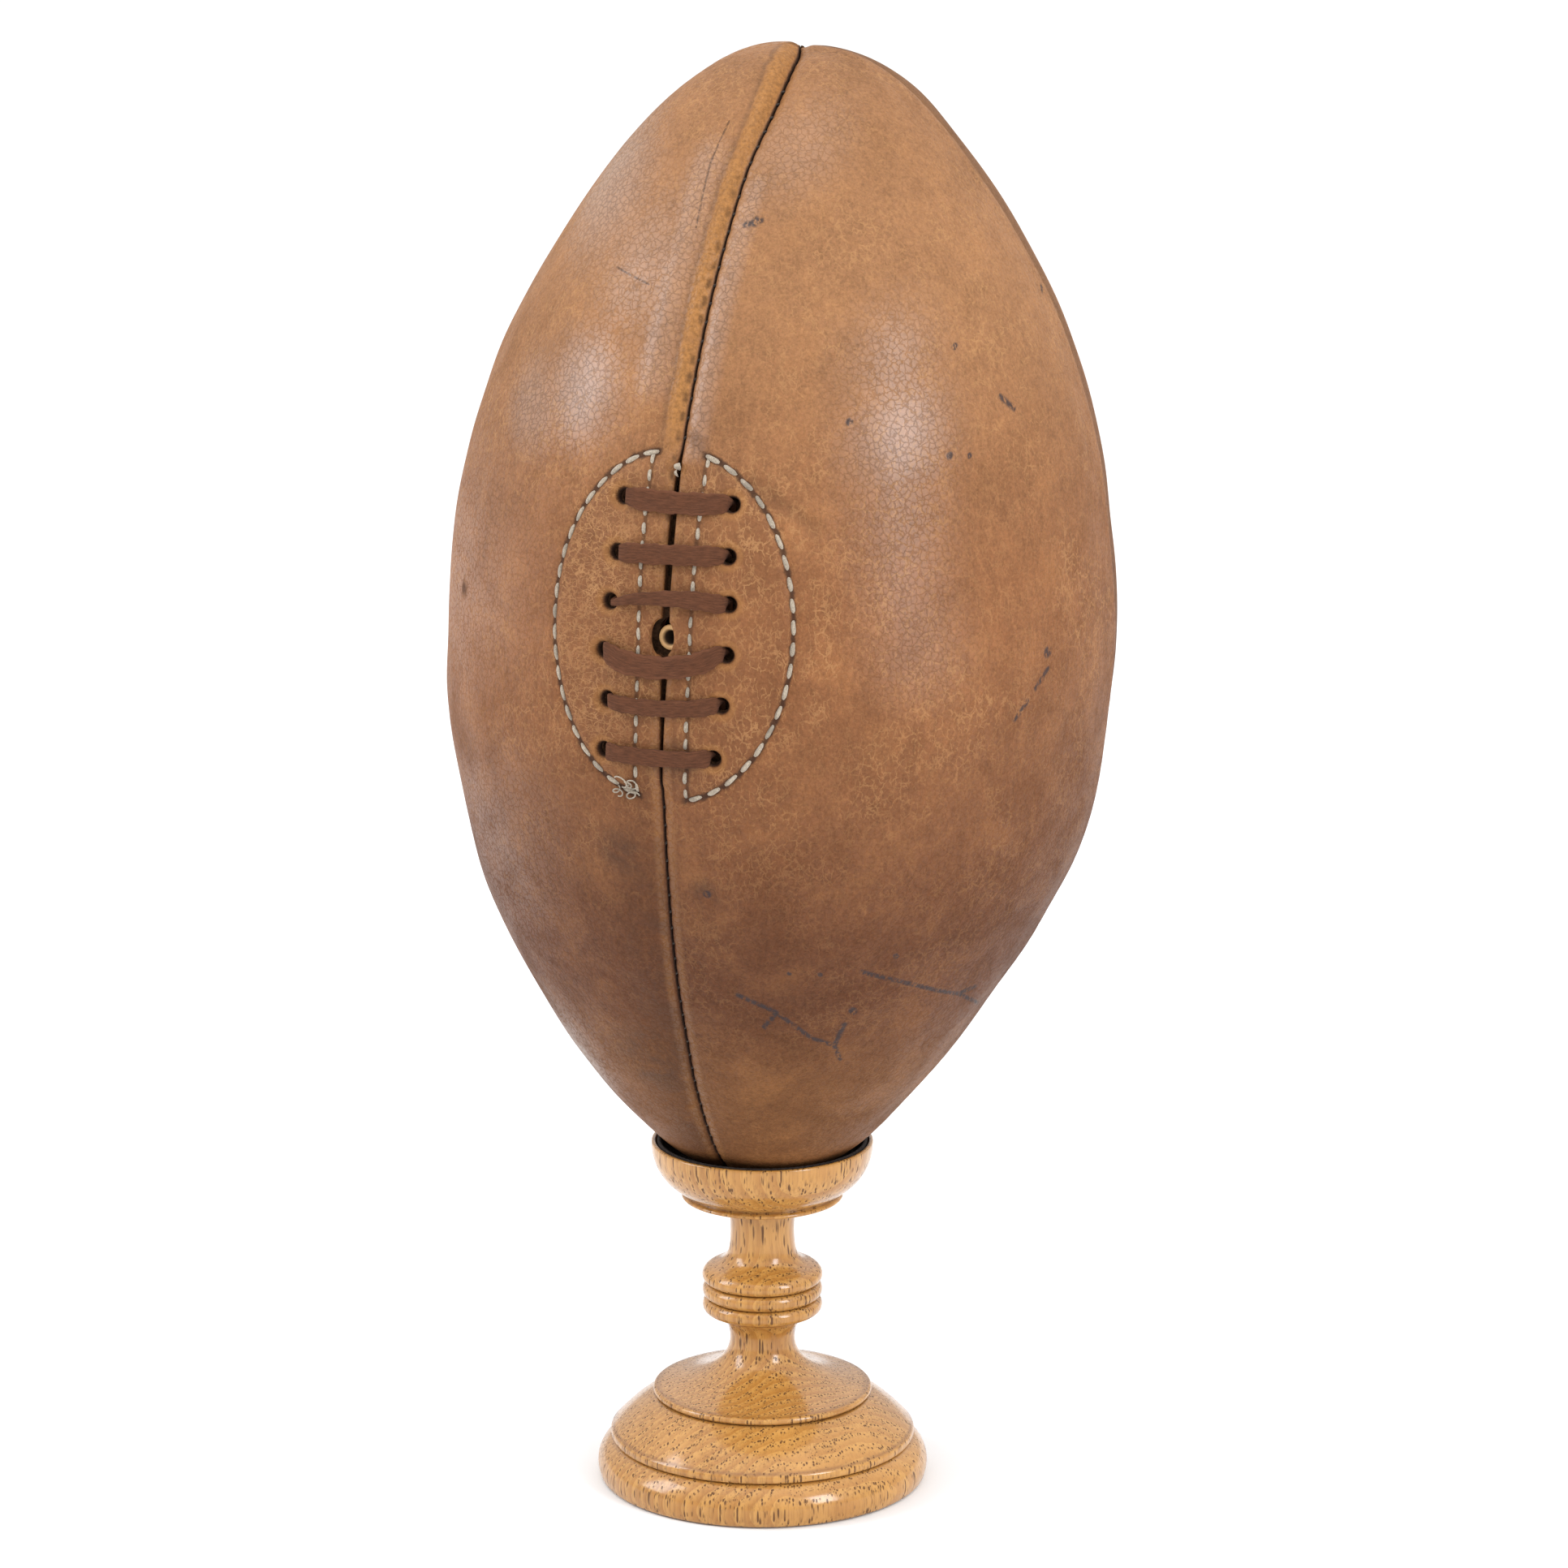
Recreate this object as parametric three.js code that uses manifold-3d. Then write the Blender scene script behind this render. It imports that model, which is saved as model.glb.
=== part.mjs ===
// An old hand-sewn leather rugby ball, standing on its point in a turned oak cup stand.
// Millimetres, +Z up. The origin is the middle of the stand's underside, and the laced side faces -Y.
import * as THREE from 'three';
import { mergeVertices } from 'three/addons/utils/BufferGeometryUtils.js';
import Module from 'manifold-3d';

const wasm = await Module();
wasm.setup();
const { degToRad, lerp, clamp } = THREE.MathUtils;

// ---------------------------------------------------------------- driving dimensions
const CLEARANCE = 0.3;                     // between pieces that touch

// The ball's own shape, measured along its long axis from its middle.
const BALL_LENGTH = 310;
const BALL_FULLNESS = [89.4, -2.3, -5, 20, -50, -15.5, 43.5];   // belly radius, then how it tapers
const BALL_FOOT = new THREE.Vector3(-1.2, 0, 86.3);             // its lower tip, in the cup
const BALL_LEAN = degToRad(2.2);                                // towards +X

// The sewn seams. Four panels meet in four valleys.
const LACE_SEAM_AZIMUTH = degToRad(-109.2);
const SEAM_TWIST_TOP = degToRad(8);        // how far the seams wander round as they reach each tip
const SEAM_TWIST_FOOT = degToRad(3);
const SIDE_SEAM_BOW = degToRad(9);         // the right-hand panel is cut wide, so its far seam bows
const VALLEY_DEPTH = 2.4;
const VALLEY_WIDTH = 4.5;
const FLATTENED_AT_SLIT = 0.6;             // how much shallower the valley is along the slit
const SEAM_HALF_GAP = 0.25;
const TIP_ANGLE = degToRad(88.6);          // where the panels stop, seen from the ball's middle

// Sheet thicknesses.
const LEATHER = 2.3;
const PANEL_EDGE = 3.6;                    // leather and the edge turned in behind it
const FACING = 1.2;
const TONGUE = 1.5;
const RUBBER = 0.7;

// The laced opening, in mm round the ball from the slit and up from its centre.
const LACING_HEIGHT = 14.5;                // above the ball's middle
const LACE_ROWS = 6;
const LACE_ROW_PITCH = 13.1;
const HOLE_OFFSET = 15.5;
const HOLE_RADIUS = 1.95;
const LACE_WIDTH = 5.6;
const LACE_NECK = 2.8;                     // squeezed width in a hole
const LACE_THICKNESS = 1.2;
const LACE_LIFT = 2.0;                     // middle of a bar above the leather
const LACE_SINK = 5.5;                     // middle of an inner run below it
const STITCH_OVAL = new THREE.Vector2(33.5, 45.3);
const STITCH_OVAL_START = 6;
const STITCH_COLUMN = 7.2;
const STITCH_COLUMN_HALF = 41.5;
const STITCH_RADIUS = 0.4;
const FACING_OVAL = new THREE.Vector2(36.5, 48);
const FACING_START = 4.8;
const FACING_HALF_HEIGHT = 46.5;
const FACING_DEPTH = LEATHER + 0.9;
const TONGUE_HALF = new THREE.Vector2(20, 50);
const TONGUE_DEPTH = 6.3;
const SLIT_TOP = 43;
const SLIT_FOOT = -40;
const TACK_HEIGHT = 40.6;

// The bladder's filling tube.
const VALVE_HEIGHT = -1;                   // from the lacing's centre
const VALVE_RADIUS = 3.7;
const VALVE_BORE = 1.8;
const VALVE_MOUTH_DEPTH = 1;
const VALVE_LENGTH = 9.8;
const VALVE_NOTCH = new THREE.Vector2(4, 5.35);

// The stand.
const BASE_TOP = 23.6;
const CUP_UNDERSIDE = 79.5;
const RIM_HEIGHT = 96.3;
const FOOT_TENON = { radius: 8, depth: 13.6 };
const CUP_TENON = { radius: 6, depth: 3 };

// ---------------------------------------------------------------- materials
const paint = (color, roughness) => new THREE.MeshStandardMaterial({ color, roughness, metalness: 0 });
const panelLeather = paint(0x9a6238, 0.5);
const liningLeather = paint(0x8a6a48, 0.8);
const laceSuede = paint(0x5c3a28, 0.9);
const waxedThread = paint(0x3a2a20, 0.7);
const creamThread = paint(0xc9b596, 0.8);
const valveRubber = paint(0xd8a968, 0.6);
const bladderRubber = paint(0x7c2f22, 0.7);
const oak = paint(0xd2a15d, 0.3);
const darkFelt = paint(0x1d1816, 1);

// ---------------------------------------------------------------- solids
// A geometry as a manifold solid, for cutting.
function solidFrom(geometry) {
  const bare = geometry.clone();
  bare.deleteAttribute('normal');
  bare.deleteAttribute('uv');
  const merged = mergeVertices(bare, 1e-5);
  return new wasm.Manifold(new wasm.Mesh({
    numProp: 3,
    vertProperties: new Float32Array(merged.attributes.position.array),
    triVerts: new Uint32Array(merged.index.array),
  }));
}

function geometryFrom(solid) {
  const mesh = solid.getMesh();
  const geometry = new THREE.BufferGeometry();
  geometry.setAttribute('position', new THREE.BufferAttribute(mesh.vertProperties, 3));
  geometry.setIndex(new THREE.BufferAttribute(mesh.triVerts, 1));
  return geometry;
}

function cut(geometry, cutters) {
  const whole = solidFrom(geometry);
  return geometryFrom(cutters.reduce((left, cutter) => left.subtract(solidFrom(cutter)), whole));
}

// A closed slab over a grid of rows and columns. corner(row, column, side) is a point of its outer
// face on side 0 and of its inner face on side 1.
function slab(rows, columns, corner) {
  const positions = [];
  const faces = [];
  const at = (i, j, side) => (i * (columns + 1) + j) * 2 + side;
  const quad = (a, b, c, d) => faces.push(a, b, c, a, c, d);
  for (let i = 0; i <= rows; i++) {
    for (let j = 0; j <= columns; j++) {
      positions.push(...corner(i, j, 0).toArray(), ...corner(i, j, 1).toArray());
    }
  }
  for (let i = 0; i < rows; i++) {
    for (let j = 0; j < columns; j++) {
      quad(at(i, j, 0), at(i, j + 1, 0), at(i + 1, j + 1, 0), at(i + 1, j, 0));
      quad(at(i, j, 1), at(i + 1, j, 1), at(i + 1, j + 1, 1), at(i, j + 1, 1));
    }
    quad(at(i, 0, 0), at(i + 1, 0, 0), at(i + 1, 0, 1), at(i, 0, 1));
    quad(at(i, columns, 0), at(i, columns, 1), at(i + 1, columns, 1), at(i + 1, columns, 0));
  }
  for (let j = 0; j < columns; j++) {
    quad(at(0, j, 0), at(0, j, 1), at(0, j + 1, 1), at(0, j + 1, 0));
    quad(at(rows, j, 0), at(rows, j + 1, 0), at(rows, j + 1, 1), at(rows, j, 1));
  }
  return indexed(positions, faces);
}

// A closed surface of rings between two poles.
function globe(rings, columns, foot, top, point) {
  const positions = [foot.x, foot.y, foot.z, top.x, top.y, top.z];
  const faces = [];
  const at = (i, j) => 2 + i * columns + (j % columns);
  for (let i = 0; i < rings; i++) {
    for (let j = 0; j < columns; j++) {
      positions.push(...point(i, j).toArray());
    }
  }
  for (let j = 0; j < columns; j++) {
    for (let i = 0; i < rings - 1; i++) {
      faces.push(at(i, j), at(i, j + 1), at(i + 1, j + 1), at(i, j), at(i + 1, j + 1), at(i + 1, j));
    }
    faces.push(0, at(0, j + 1), at(0, j), 1, at(rings - 1, j), at(rings - 1, j + 1));
  }
  return indexed(positions, faces);
}

function indexed(positions, faces) {
  const geometry = new THREE.BufferGeometry();
  geometry.setAttribute('position', new THREE.Float32BufferAttribute(positions, 3));
  geometry.setIndex(faces);
  return geometry;
}

// A strip through stations, each with a place, a direction across it and a width.
function ribbon(stations, thickness) {
  const edges = stations.map((station, i) => {
    const before = stations[Math.max(i - 1, 0)].place;
    const after = stations[Math.min(i + 1, stations.length - 1)].place;
    const along = after.clone().sub(before).normalize();
    const across = station.across.clone().addScaledVector(along, -station.across.dot(along)).normalize();
    return { across, out: across.clone().cross(along) };
  });
  return slab(stations.length - 1, 1, (i, j, side) => {
    const { across, out } = edges[i];
    return stations[i].place.clone()
      .addScaledVector(across, (j - 0.5) * stations[i].width)
      .addScaledVector(out, (0.5 - side) * thickness);
  });
}

// A round thread through points.
function thread(points, radius, steps) {
  const sides = 6;
  const round = new THREE.Shape(Array.from({ length: sides }, (_, i) => {
    const angle = i / sides * 2 * Math.PI;
    return new THREE.Vector2(Math.cos(angle), Math.sin(angle)).multiplyScalar(radius);
  }));
  const path = new THREE.CatmullRomCurve3(points);
  return new THREE.ExtrudeGeometry(round, { steps, extrudePath: path, bevelEnabled: false });
}

// ---------------------------------------------------------------- the ball's surface
const HALF_LENGTH = BALL_LENGTH / 2;
const fullness = (u) => BALL_FULLNESS.reduceRight((sum, factor) => sum * u + factor, 0);

// The smooth outline at u, which runs from -1 at the foot to 1 at the top.
function outline(u) {
  const across = Math.sqrt(1 - u * u);
  const step = 1e-4;
  const slope = (fullness(u + step) - fullness(u - step)) / (2 * step);
  const normal = new THREE.Vector2(HALF_LENGTH * across, u * fullness(u) - across * across * slope);
  return { radius: across * fullness(u), height: HALF_LENGTH * u, normal: normal.normalize() };
}

// A point at an azimuth, lifted off the smooth outline along its normal.
function skin(azimuth, u, lift) {
  const { radius, height, normal } = outline(u);
  const reach = radius + lift * normal.x;
  return new THREE.Vector3(reach * Math.cos(azimuth), reach * Math.sin(azimuth), height + lift * normal.y);
}

// Seam 0 is the laced one. The others follow anticlockwise from above.
function seamAzimuth(seam, u) {
  const twist = (u > 0 ? SEAM_TWIST_TOP : SEAM_TWIST_FOOT) * u ** 3 * (1 - u * u) ** -0.2;
  const bow = seam === 1 ? SIDE_SEAM_BOW * (1 - u * u) ** 1.4 : 0;
  return LACE_SEAM_AZIMUTH + seam * Math.PI / 2 + twist + bow;
}

// How far the leather dips into a seam, at a distance from it.
function valley(seam, u, distance) {
  const rise = Math.abs(HALF_LENGTH * u - LACING_HEIGHT);
  const flattened = seam % 4 === 0 ? FLATTENED_AT_SLIT * clamp((58 - rise) / 12, 0, 1) : 0;
  return VALLEY_DEPTH * (1 - flattened) * Math.exp(-distance / VALLEY_WIDTH);
}

// A point beside the slit: mm round from it, mm up from the lacing's centre, mm off the smooth outline.
function besideSlit(round, rise, lift) {
  const u = (LACING_HEIGHT + rise) / HALF_LENGTH;
  return skin(seamAzimuth(0, u) + round / outline(u).radius, u, lift);
}

// The same, but off the leather, which dips towards the slit.
function onLeather(round, rise, lift) {
  const u = (LACING_HEIGHT + rise) / HALF_LENGTH;
  return besideSlit(round, rise, lift - valley(0, u, Math.abs(round)));
}

// Axes at such a point: X round the ball, Y up it, Z out of it.
function axesAt(round, rise, lift) {
  const place = besideSlit(round, rise, lift);
  const out = besideSlit(round, rise, lift + 1).sub(place).normalize();
  const up = besideSlit(round, rise + 1, lift).sub(place);
  const across = up.clone().cross(out).normalize();
  return new THREE.Matrix4().makeBasis(across, out.clone().cross(across), out).setPosition(place);
}

// A peg through the leather there, for cutting a hole.
function peg(round, rise, radiusX, radiusY, sides) {
  const length = 30;
  const pin = new THREE.CylinderGeometry(1, 1, length, sides).rotateX(Math.PI / 2);
  return pin.scale(radiusX, radiusY, 1).applyMatrix4(axesAt(round, rise, 0));
}

// ---------------------------------------------------------------- the leather case
const PANEL_ROWS = 18;
const PANEL_COLUMNS = panelColumns();

// Where a panel's columns stand between its two seams: close together at the turned edges.
function panelColumns() {
  const middle = Array.from({ length: 9 }, (_, i) => 0.07 + 0.086 * (i + 1));
  return [0, 0.025, 0.07, ...middle, 0.93, 0.975, 1];
}

const rowAt = (i, rows, limit) => Math.sin(lerp(-limit, limit, i / rows));

function panelGeometry(seam) {
  const last = PANEL_COLUMNS.length - 1;
  return slab(PANEL_ROWS, last, (i, j, side) => {
    const u = rowAt(i, PANEL_ROWS, TIP_ANGLE);
    const { radius } = outline(u);
    const gap = Math.asin(SEAM_HALF_GAP / radius);
    const start = seamAzimuth(seam, u);
    const end = seamAzimuth(seam + 1, u);
    const azimuth = lerp(start + gap, end - gap, PANEL_COLUMNS[j]);
    const dip = valley(seam, u, (azimuth - start) * radius) + valley(seam + 1, u, (end - azimuth) * radius);
    const turnedIn = j === 0 || j === last;
    return skin(azimuth, u, -dip - side * (turnedIn ? PANEL_EDGE : LEATHER));
  });
}

const rowRise = (row) => LACE_ROW_PITCH * ((LACE_ROWS - 1) / 2 - row);
const holeRises = Array.from({ length: LACE_ROWS }, (_, row) => rowRise(row));
const holeCutters = (side) => holeRises.map((rise) => peg(side * HOLE_OFFSET, rise, HOLE_RADIUS, HOLE_RADIUS, 10));
const valveNotch = () => peg(0, VALVE_HEIGHT, VALVE_NOTCH.x, VALVE_NOTCH.y, 16);

function addCase(ball) {
  const names = ['panel_front_right', 'panel_back_right', 'panel_back_left', 'panel_front_left'];
  const laced = { panel_front_right: 1, panel_front_left: -1 };
  names.forEach((name, seam) => {
    const whole = panelGeometry(seam);
    const shape = laced[name] ? cut(whole, [...holeCutters(laced[name]), valveNotch()]) : whole;
    add(ball, name, shape, panelLeather);
  });
}

// Waxed thread in each valley. The laced seam's thread stops at the slit.
function addSeamThreads(ball) {
  const liftOverValley = 1;
  const tipLimit = degToRad(85);
  const slitTop = (LACING_HEIGHT + SLIT_TOP) / HALF_LENGTH;
  const slitFoot = (LACING_HEIGHT + SLIT_FOOT) / HALF_LENGTH;
  const rows = Array.from({ length: PANEL_ROWS - 1 }, (_, i) => rowAt(i + 1, PANEL_ROWS, TIP_ANGLE));
  const runs = {
    seam_thread_lace_upper: [0, slitTop, Math.sin(tipLimit)],
    seam_thread_lace_lower: [0, -Math.sin(tipLimit), slitFoot],
    seam_thread_right: [1, -Math.sin(tipLimit), Math.sin(tipLimit)],
    seam_thread_back: [2, -Math.sin(tipLimit), Math.sin(tipLimit)],
    seam_thread_left: [3, -Math.sin(tipLimit), Math.sin(tipLimit)],
  };
  for (const [name, [seam, from, to]] of Object.entries(runs)) {
    const heights = [from, ...rows.filter((u) => u > from && u < to), to];
    const stations = heights.map((u) => {
      const azimuth = seamAzimuth(seam, u);
      return {
        place: skin(azimuth, u, liftOverValley - valley(seam, u, 0)),
        across: new THREE.Vector3(-Math.sin(azimuth), Math.cos(azimuth), 0),
        width: 1,
      };
    });
    add(ball, name, ribbon(stations, 0.7), waxedThread);
  }
}

// ---------------------------------------------------------------- the laced opening
// Half-oval reinforcements behind the holes, one each side of the slit.
function addFacings(ball) {
  for (const [name, side] of [['lace_facing_left', -1], ['lace_facing_right', 1]]) {
    const whole = slab(10, 4, (i, j, face) => {
      const rise = lerp(-FACING_HALF_HEIGHT, FACING_HALF_HEIGHT, i / 10);
      const far = FACING_OVAL.x * Math.sqrt(1 - (rise / FACING_OVAL.y) ** 2);
      const near = FACING_START;
      const round = side > 0 ? lerp(near, far, j / 4) : lerp(-far, -near, j / 4);
      return onLeather(round, rise, -FACING_DEPTH - face * FACING);
    });
    add(ball, name, cut(whole, [...holeCutters(side), valveNotch()]), liningLeather);
  }
}

// The loose strip that keeps the lace off the bladder.
function addTongue(ball) {
  const whole = slab(8, 4, (i, j, face) => {
    const rise = lerp(-TONGUE_HALF.y, TONGUE_HALF.y, i / 8);
    const round = lerp(-TONGUE_HALF.x, TONGUE_HALF.x, j / 4);
    return besideSlit(round, rise, -TONGUE_DEPTH - face * TONGUE);
  });
  const reach = VALVE_RADIUS + CLEARANCE + 0.1;
  add(ball, 'lace_tongue', cut(whole, [peg(0, VALVE_HEIGHT, reach, reach, 16)]), liningLeather);
}

// One lace: a bar across each row, and an inner run down alternate sides to the next row.
function addLace(ball) {
  const stations = [];
  const station = (round, rise, lift, width, turn) => {
    const axes = axesAt(round, rise, lift);
    const sideways = new THREE.Vector3().setFromMatrixColumn(axes, 0);
    const upwards = new THREE.Vector3().setFromMatrixColumn(axes, 1);
    const across = upwards.multiplyScalar(Math.cos(turn)).addScaledVector(sideways, Math.sin(turn));
    stations.push({ place: besideSlit(round, rise, lift), across, width });
  };
  const bend = (side, row, outward) => {
    const turnSign = (row % 2 ? -1 : 1) * side;
    const steps = [
      [HOLE_OFFSET, -4.6, LACE_NECK, 90],
      [HOLE_OFFSET, -3, LACE_NECK, 60],
      [HOLE_OFFSET, -1, LACE_NECK, 15],
      [HOLE_OFFSET - 0.5, 1.2, LACE_NECK, 0],
    ];
    for (const [round, lift, width, turn] of outward ? steps : steps.reverse()) {
      station(side * round, rowRise(row), lift, width, turnSign * degToRad(turn));
    }
  };
  const tail = 12;
  const clear = 2;
  const first = -1;
  station(first * HOLE_OFFSET, rowRise(0) + tail, -LACE_SINK, LACE_NECK, -Math.PI / 2);
  station(first * HOLE_OFFSET, rowRise(0) + clear, -LACE_SINK, LACE_NECK, -Math.PI / 2);
  for (let row = 0; row < LACE_ROWS; row++) {
    const heading = row % 2 ? -1 : 1;
    bend(-heading, row, true);
    for (const share of [-1, -0.5, 0, 0.5, 1]) {
      station(share * heading * (HOLE_OFFSET - 3), rowRise(row), LACE_LIFT, LACE_WIDTH, 0);
    }
    bend(heading, row, false);
    const runEnd = row < LACE_ROWS - 1 ? rowRise(row + 1) + clear : rowRise(row) - tail;
    station(heading * HOLE_OFFSET, rowRise(row) - clear, -LACE_SINK, LACE_NECK, Math.PI / 2);
    station(heading * HOLE_OFFSET, runEnd, -LACE_SINK, LACE_NECK, Math.PI / 2);
  }
  add(ball, 'lace', ribbon(stations, LACE_THICKNESS), laceSuede);
}

// Two rows of stitching on each side hold the facing: a half oval and a straight column by the slit.
function addFacingStitches(ball) {
  const lift = CLEARANCE + STITCH_RADIUS;
  for (const [hand, side] of [['left', -1], ['right', 1]]) {
    const start = Math.asin(STITCH_OVAL_START / STITCH_OVAL.x);
    const oval = Array.from({ length: 13 }, (_, i) => {
      const angle = lerp(start, Math.PI - start, i / 12);
      return onLeather(side * STITCH_OVAL.x * Math.sin(angle), STITCH_OVAL.y * Math.cos(angle), lift);
    });
    add(ball, `facing_stitch_oval_${hand}`, thread(oval, STITCH_RADIUS, 22), creamThread);
    const column = Array.from({ length: 7 }, (_, i) => {
      const rise = lerp(-STITCH_COLUMN_HALF, STITCH_COLUMN_HALF, i / 6);
      return onLeather(side * STITCH_COLUMN, rise, lift);
    });
    add(ball, `facing_stitch_column_${hand}`, thread(column, STITCH_RADIUS, 12), creamThread);
  }
  const tackRadius = 0.8;
  const tack = [-2.2, 0, 2.2].map((round) => besideSlit(round, TACK_HEIGHT, tackRadius + 0.1));
  add(ball, 'bar_tack', thread(tack, tackRadius, 4), creamThread);
}

// ---------------------------------------------------------------- the bladder
// How far the bladder lies inside the outline, clear of the turned edges and of the lacing's layers.
function bladderInset(u, distance, fromSlit) {
  const underLeather = LEATHER + 1.4;
  const underSeam = 7.4 - 0.4 * distance;
  const rise = Math.abs(HALF_LENGTH * u - LACING_HEIGHT);
  const dent = clamp((58 - fromSlit) / 24, 0, 1) * clamp((85 - rise) / 23, 0, 1);
  return lerp(Math.max(underLeather, underSeam), TONGUE_DEPTH + TONGUE + 0.6, dent);
}

function addBladder(ball) {
  const shares = [0, 0.04, 0.12, 0.36, 0.64, 0.88, 0.96];
  const rings = 15;
  const limit = degToRad(84);
  const wall = (extra) => {
    const point = (i, j) => {
      const u = rowAt(i, rings - 1, limit);
      const { radius } = outline(u);
      const seam = Math.floor(j / shares.length);
      const start = seamAzimuth(seam, u);
      const end = seamAzimuth(seam + 1, u);
      const azimuth = lerp(start, end, shares[j % shares.length]);
      const distance = Math.min(azimuth - start, end - azimuth) * radius;
      const turn = Math.abs(azimuth - seamAzimuth(0, u));
      const fromSlit = Math.min(turn, 2 * Math.PI - turn) * radius;
      return skin(azimuth, u, -bladderInset(u, distance, fromSlit) - extra);
    };
    const depth = bladderInset(1, 0, HALF_LENGTH) + extra;
    return globe(rings, 4 * shares.length, skin(0, -1, -depth), skin(0, 1, -depth), point);
  };
  const bore = VALVE_RADIUS + CLEARANCE;
  add(ball, 'bladder', cut(wall(0), [wall(RUBBER), peg(0, VALVE_HEIGHT, bore, bore, 16)]), bladderRubber);

  const tube = lathe([
    [VALVE_BORE, -VALVE_LENGTH],
    [VALVE_RADIUS, -VALVE_LENGTH],
    [VALVE_RADIUS, -0.6],
    [VALVE_RADIUS - 0.6, 0],
    [VALVE_BORE + 0.5, 0],
    [VALVE_BORE, -0.5],
    [VALVE_BORE, -VALVE_LENGTH],
  ].map(([r, z]) => new THREE.Vector2(r, z)), 16);
  add(ball, 'bladder_valve', tube.applyMatrix4(axesAt(0, VALVE_HEIGHT, -VALVE_MOUTH_DEPTH)), valveRubber);
}

// ---------------------------------------------------------------- the turned stand
// A profile of (radius, height) turned about Z.
function lathe(points, segments) {
  return new THREE.LatheGeometry(points, segments).rotateX(Math.PI / 2);
}

function addBase(stand) {
  const profile = new THREE.Path();
  profile.moveTo(0, 0);
  profile.lineTo(44.6, 0);
  profile.bezierCurveTo(46.2, 4.2, 45.6, 7.6, 41.4, 11);
  profile.lineTo(40.9, 11.1);
  profile.lineTo(41.9, 11.8);
  profile.lineTo(41.9, 13.3);
  profile.lineTo(41.2, 14);
  profile.quadraticCurveTo(36, 19.8, 29.6, BASE_TOP);
  const socket = FOOT_TENON.radius + CLEARANCE;
  const floor = BASE_TOP - FOOT_TENON.depth - CLEARANCE;
  profile.lineTo(socket, BASE_TOP);
  profile.lineTo(socket, floor);
  profile.lineTo(0, floor);
  add(stand, 'stand_base', lathe(profile.getPoints(5), 32), oak);
}

function addColumn(stand) {
  const foot = BASE_TOP + CLEARANCE;
  const top = CUP_UNDERSIDE - CLEARANCE;
  const profile = new THREE.Path();
  profile.moveTo(0, BASE_TOP - FOOT_TENON.depth);
  profile.lineTo(FOOT_TENON.radius, BASE_TOP - FOOT_TENON.depth);
  profile.lineTo(FOOT_TENON.radius, foot);
  profile.lineTo(29.9, foot);
  profile.lineTo(30.1, 25);
  profile.lineTo(29.4, 25.8);
  profile.bezierCurveTo(16.5, 27.9, 8.9, 32.5, 8.9, 39.4);
  profile.quadraticCurveTo(9, 45, 13, 46.3);
  profile.lineTo(14.6, 46.8);
  profile.bezierCurveTo(17.1, 46.9, 17.1, 51.1, 14.6, 51.2);
  profile.bezierCurveTo(17.1, 51.3, 17.1, 55.5, 14.6, 55.6);
  profile.bezierCurveTo(17.4, 55.8, 17.4, 59.6, 13.4, 60.6);
  profile.quadraticCurveTo(9.9, 61.6, 9.2, 65);
  profile.bezierCurveTo(8.4, 69.5, 8.6, 75.5, 10.2, 78.4);
  profile.lineTo(11.4, top);
  profile.lineTo(CUP_TENON.radius, top);
  profile.lineTo(CUP_TENON.radius, CUP_UNDERSIDE + CUP_TENON.depth - CLEARANCE);
  profile.lineTo(0, CUP_UNDERSIDE + CUP_TENON.depth - CLEARANCE);
  add(stand, 'stand_column', lathe(profile.getPoints(4), 24), oak);
}

function addCup(stand) {
  const socket = CUP_TENON.radius + CLEARANCE;
  const cup = new THREE.Path();
  cup.moveTo(0, CUP_UNDERSIDE + CUP_TENON.depth);
  cup.lineTo(socket, CUP_UNDERSIDE + CUP_TENON.depth);
  cup.lineTo(socket, CUP_UNDERSIDE);
  cup.lineTo(20.6, CUP_UNDERSIDE);
  cup.quadraticCurveTo(23.4, 80.3, 21.3, 81.3);
  cup.lineTo(21.6, 81.8);
  cup.bezierCurveTo(26.2, 84.2, 30.3, 88.4, 30.35, 95.6);
  cup.lineTo(30.1, RIM_HEIGHT);
  cup.lineTo(29.2, RIM_HEIGHT);
  cup.bezierCurveTo(28.6, 89, 22, 85, 8, 84.4);
  cup.lineTo(0, 84.4);
  add(stand, 'stand_cup', lathe(cup.getPoints(4), 32), oak);

  const felt = new THREE.Path();
  felt.moveTo(0, 84.4 + CLEARANCE);
  felt.lineTo(8, 84.4 + CLEARANCE);
  felt.bezierCurveTo(21.8, 85.4, 28.3, 89.2, 28.8, RIM_HEIGHT - 0.2);
  felt.lineTo(27.6, RIM_HEIGHT - 0.2);
  felt.bezierCurveTo(27, 90, 20.8, 86.5, 8, 85.6);
  felt.lineTo(0, 85.6);
  add(stand, 'cup_lining', lathe(felt.getPoints(4), 32), darkFelt);
}

// ---------------------------------------------------------------- assembly
function add(group, name, geometry, material) {
  const mesh = new THREE.Mesh(geometry, material);
  mesh.name = name;
  group.add(mesh);
}

const stand = new THREE.Group();
addBase(stand);
addColumn(stand);
addCup(stand);

const ball = new THREE.Group();
addCase(ball);
addSeamThreads(ball);
addFacings(ball);
addTongue(ball);
addLace(ball);
addFacingStitches(ball);
addBladder(ball);
ball.rotation.y = BALL_LEAN;
ball.position.set(0, 0, HALF_LENGTH).applyAxisAngle(new THREE.Vector3(0, 1, 0), BALL_LEAN).add(BALL_FOOT);

const part = new THREE.Group();
part.add(stand, ball);

export default part;
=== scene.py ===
"""An old hand-sewn leather rugby ball on its turned oak stand: its fine shapes and finishes."""
import functools
import math

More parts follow.
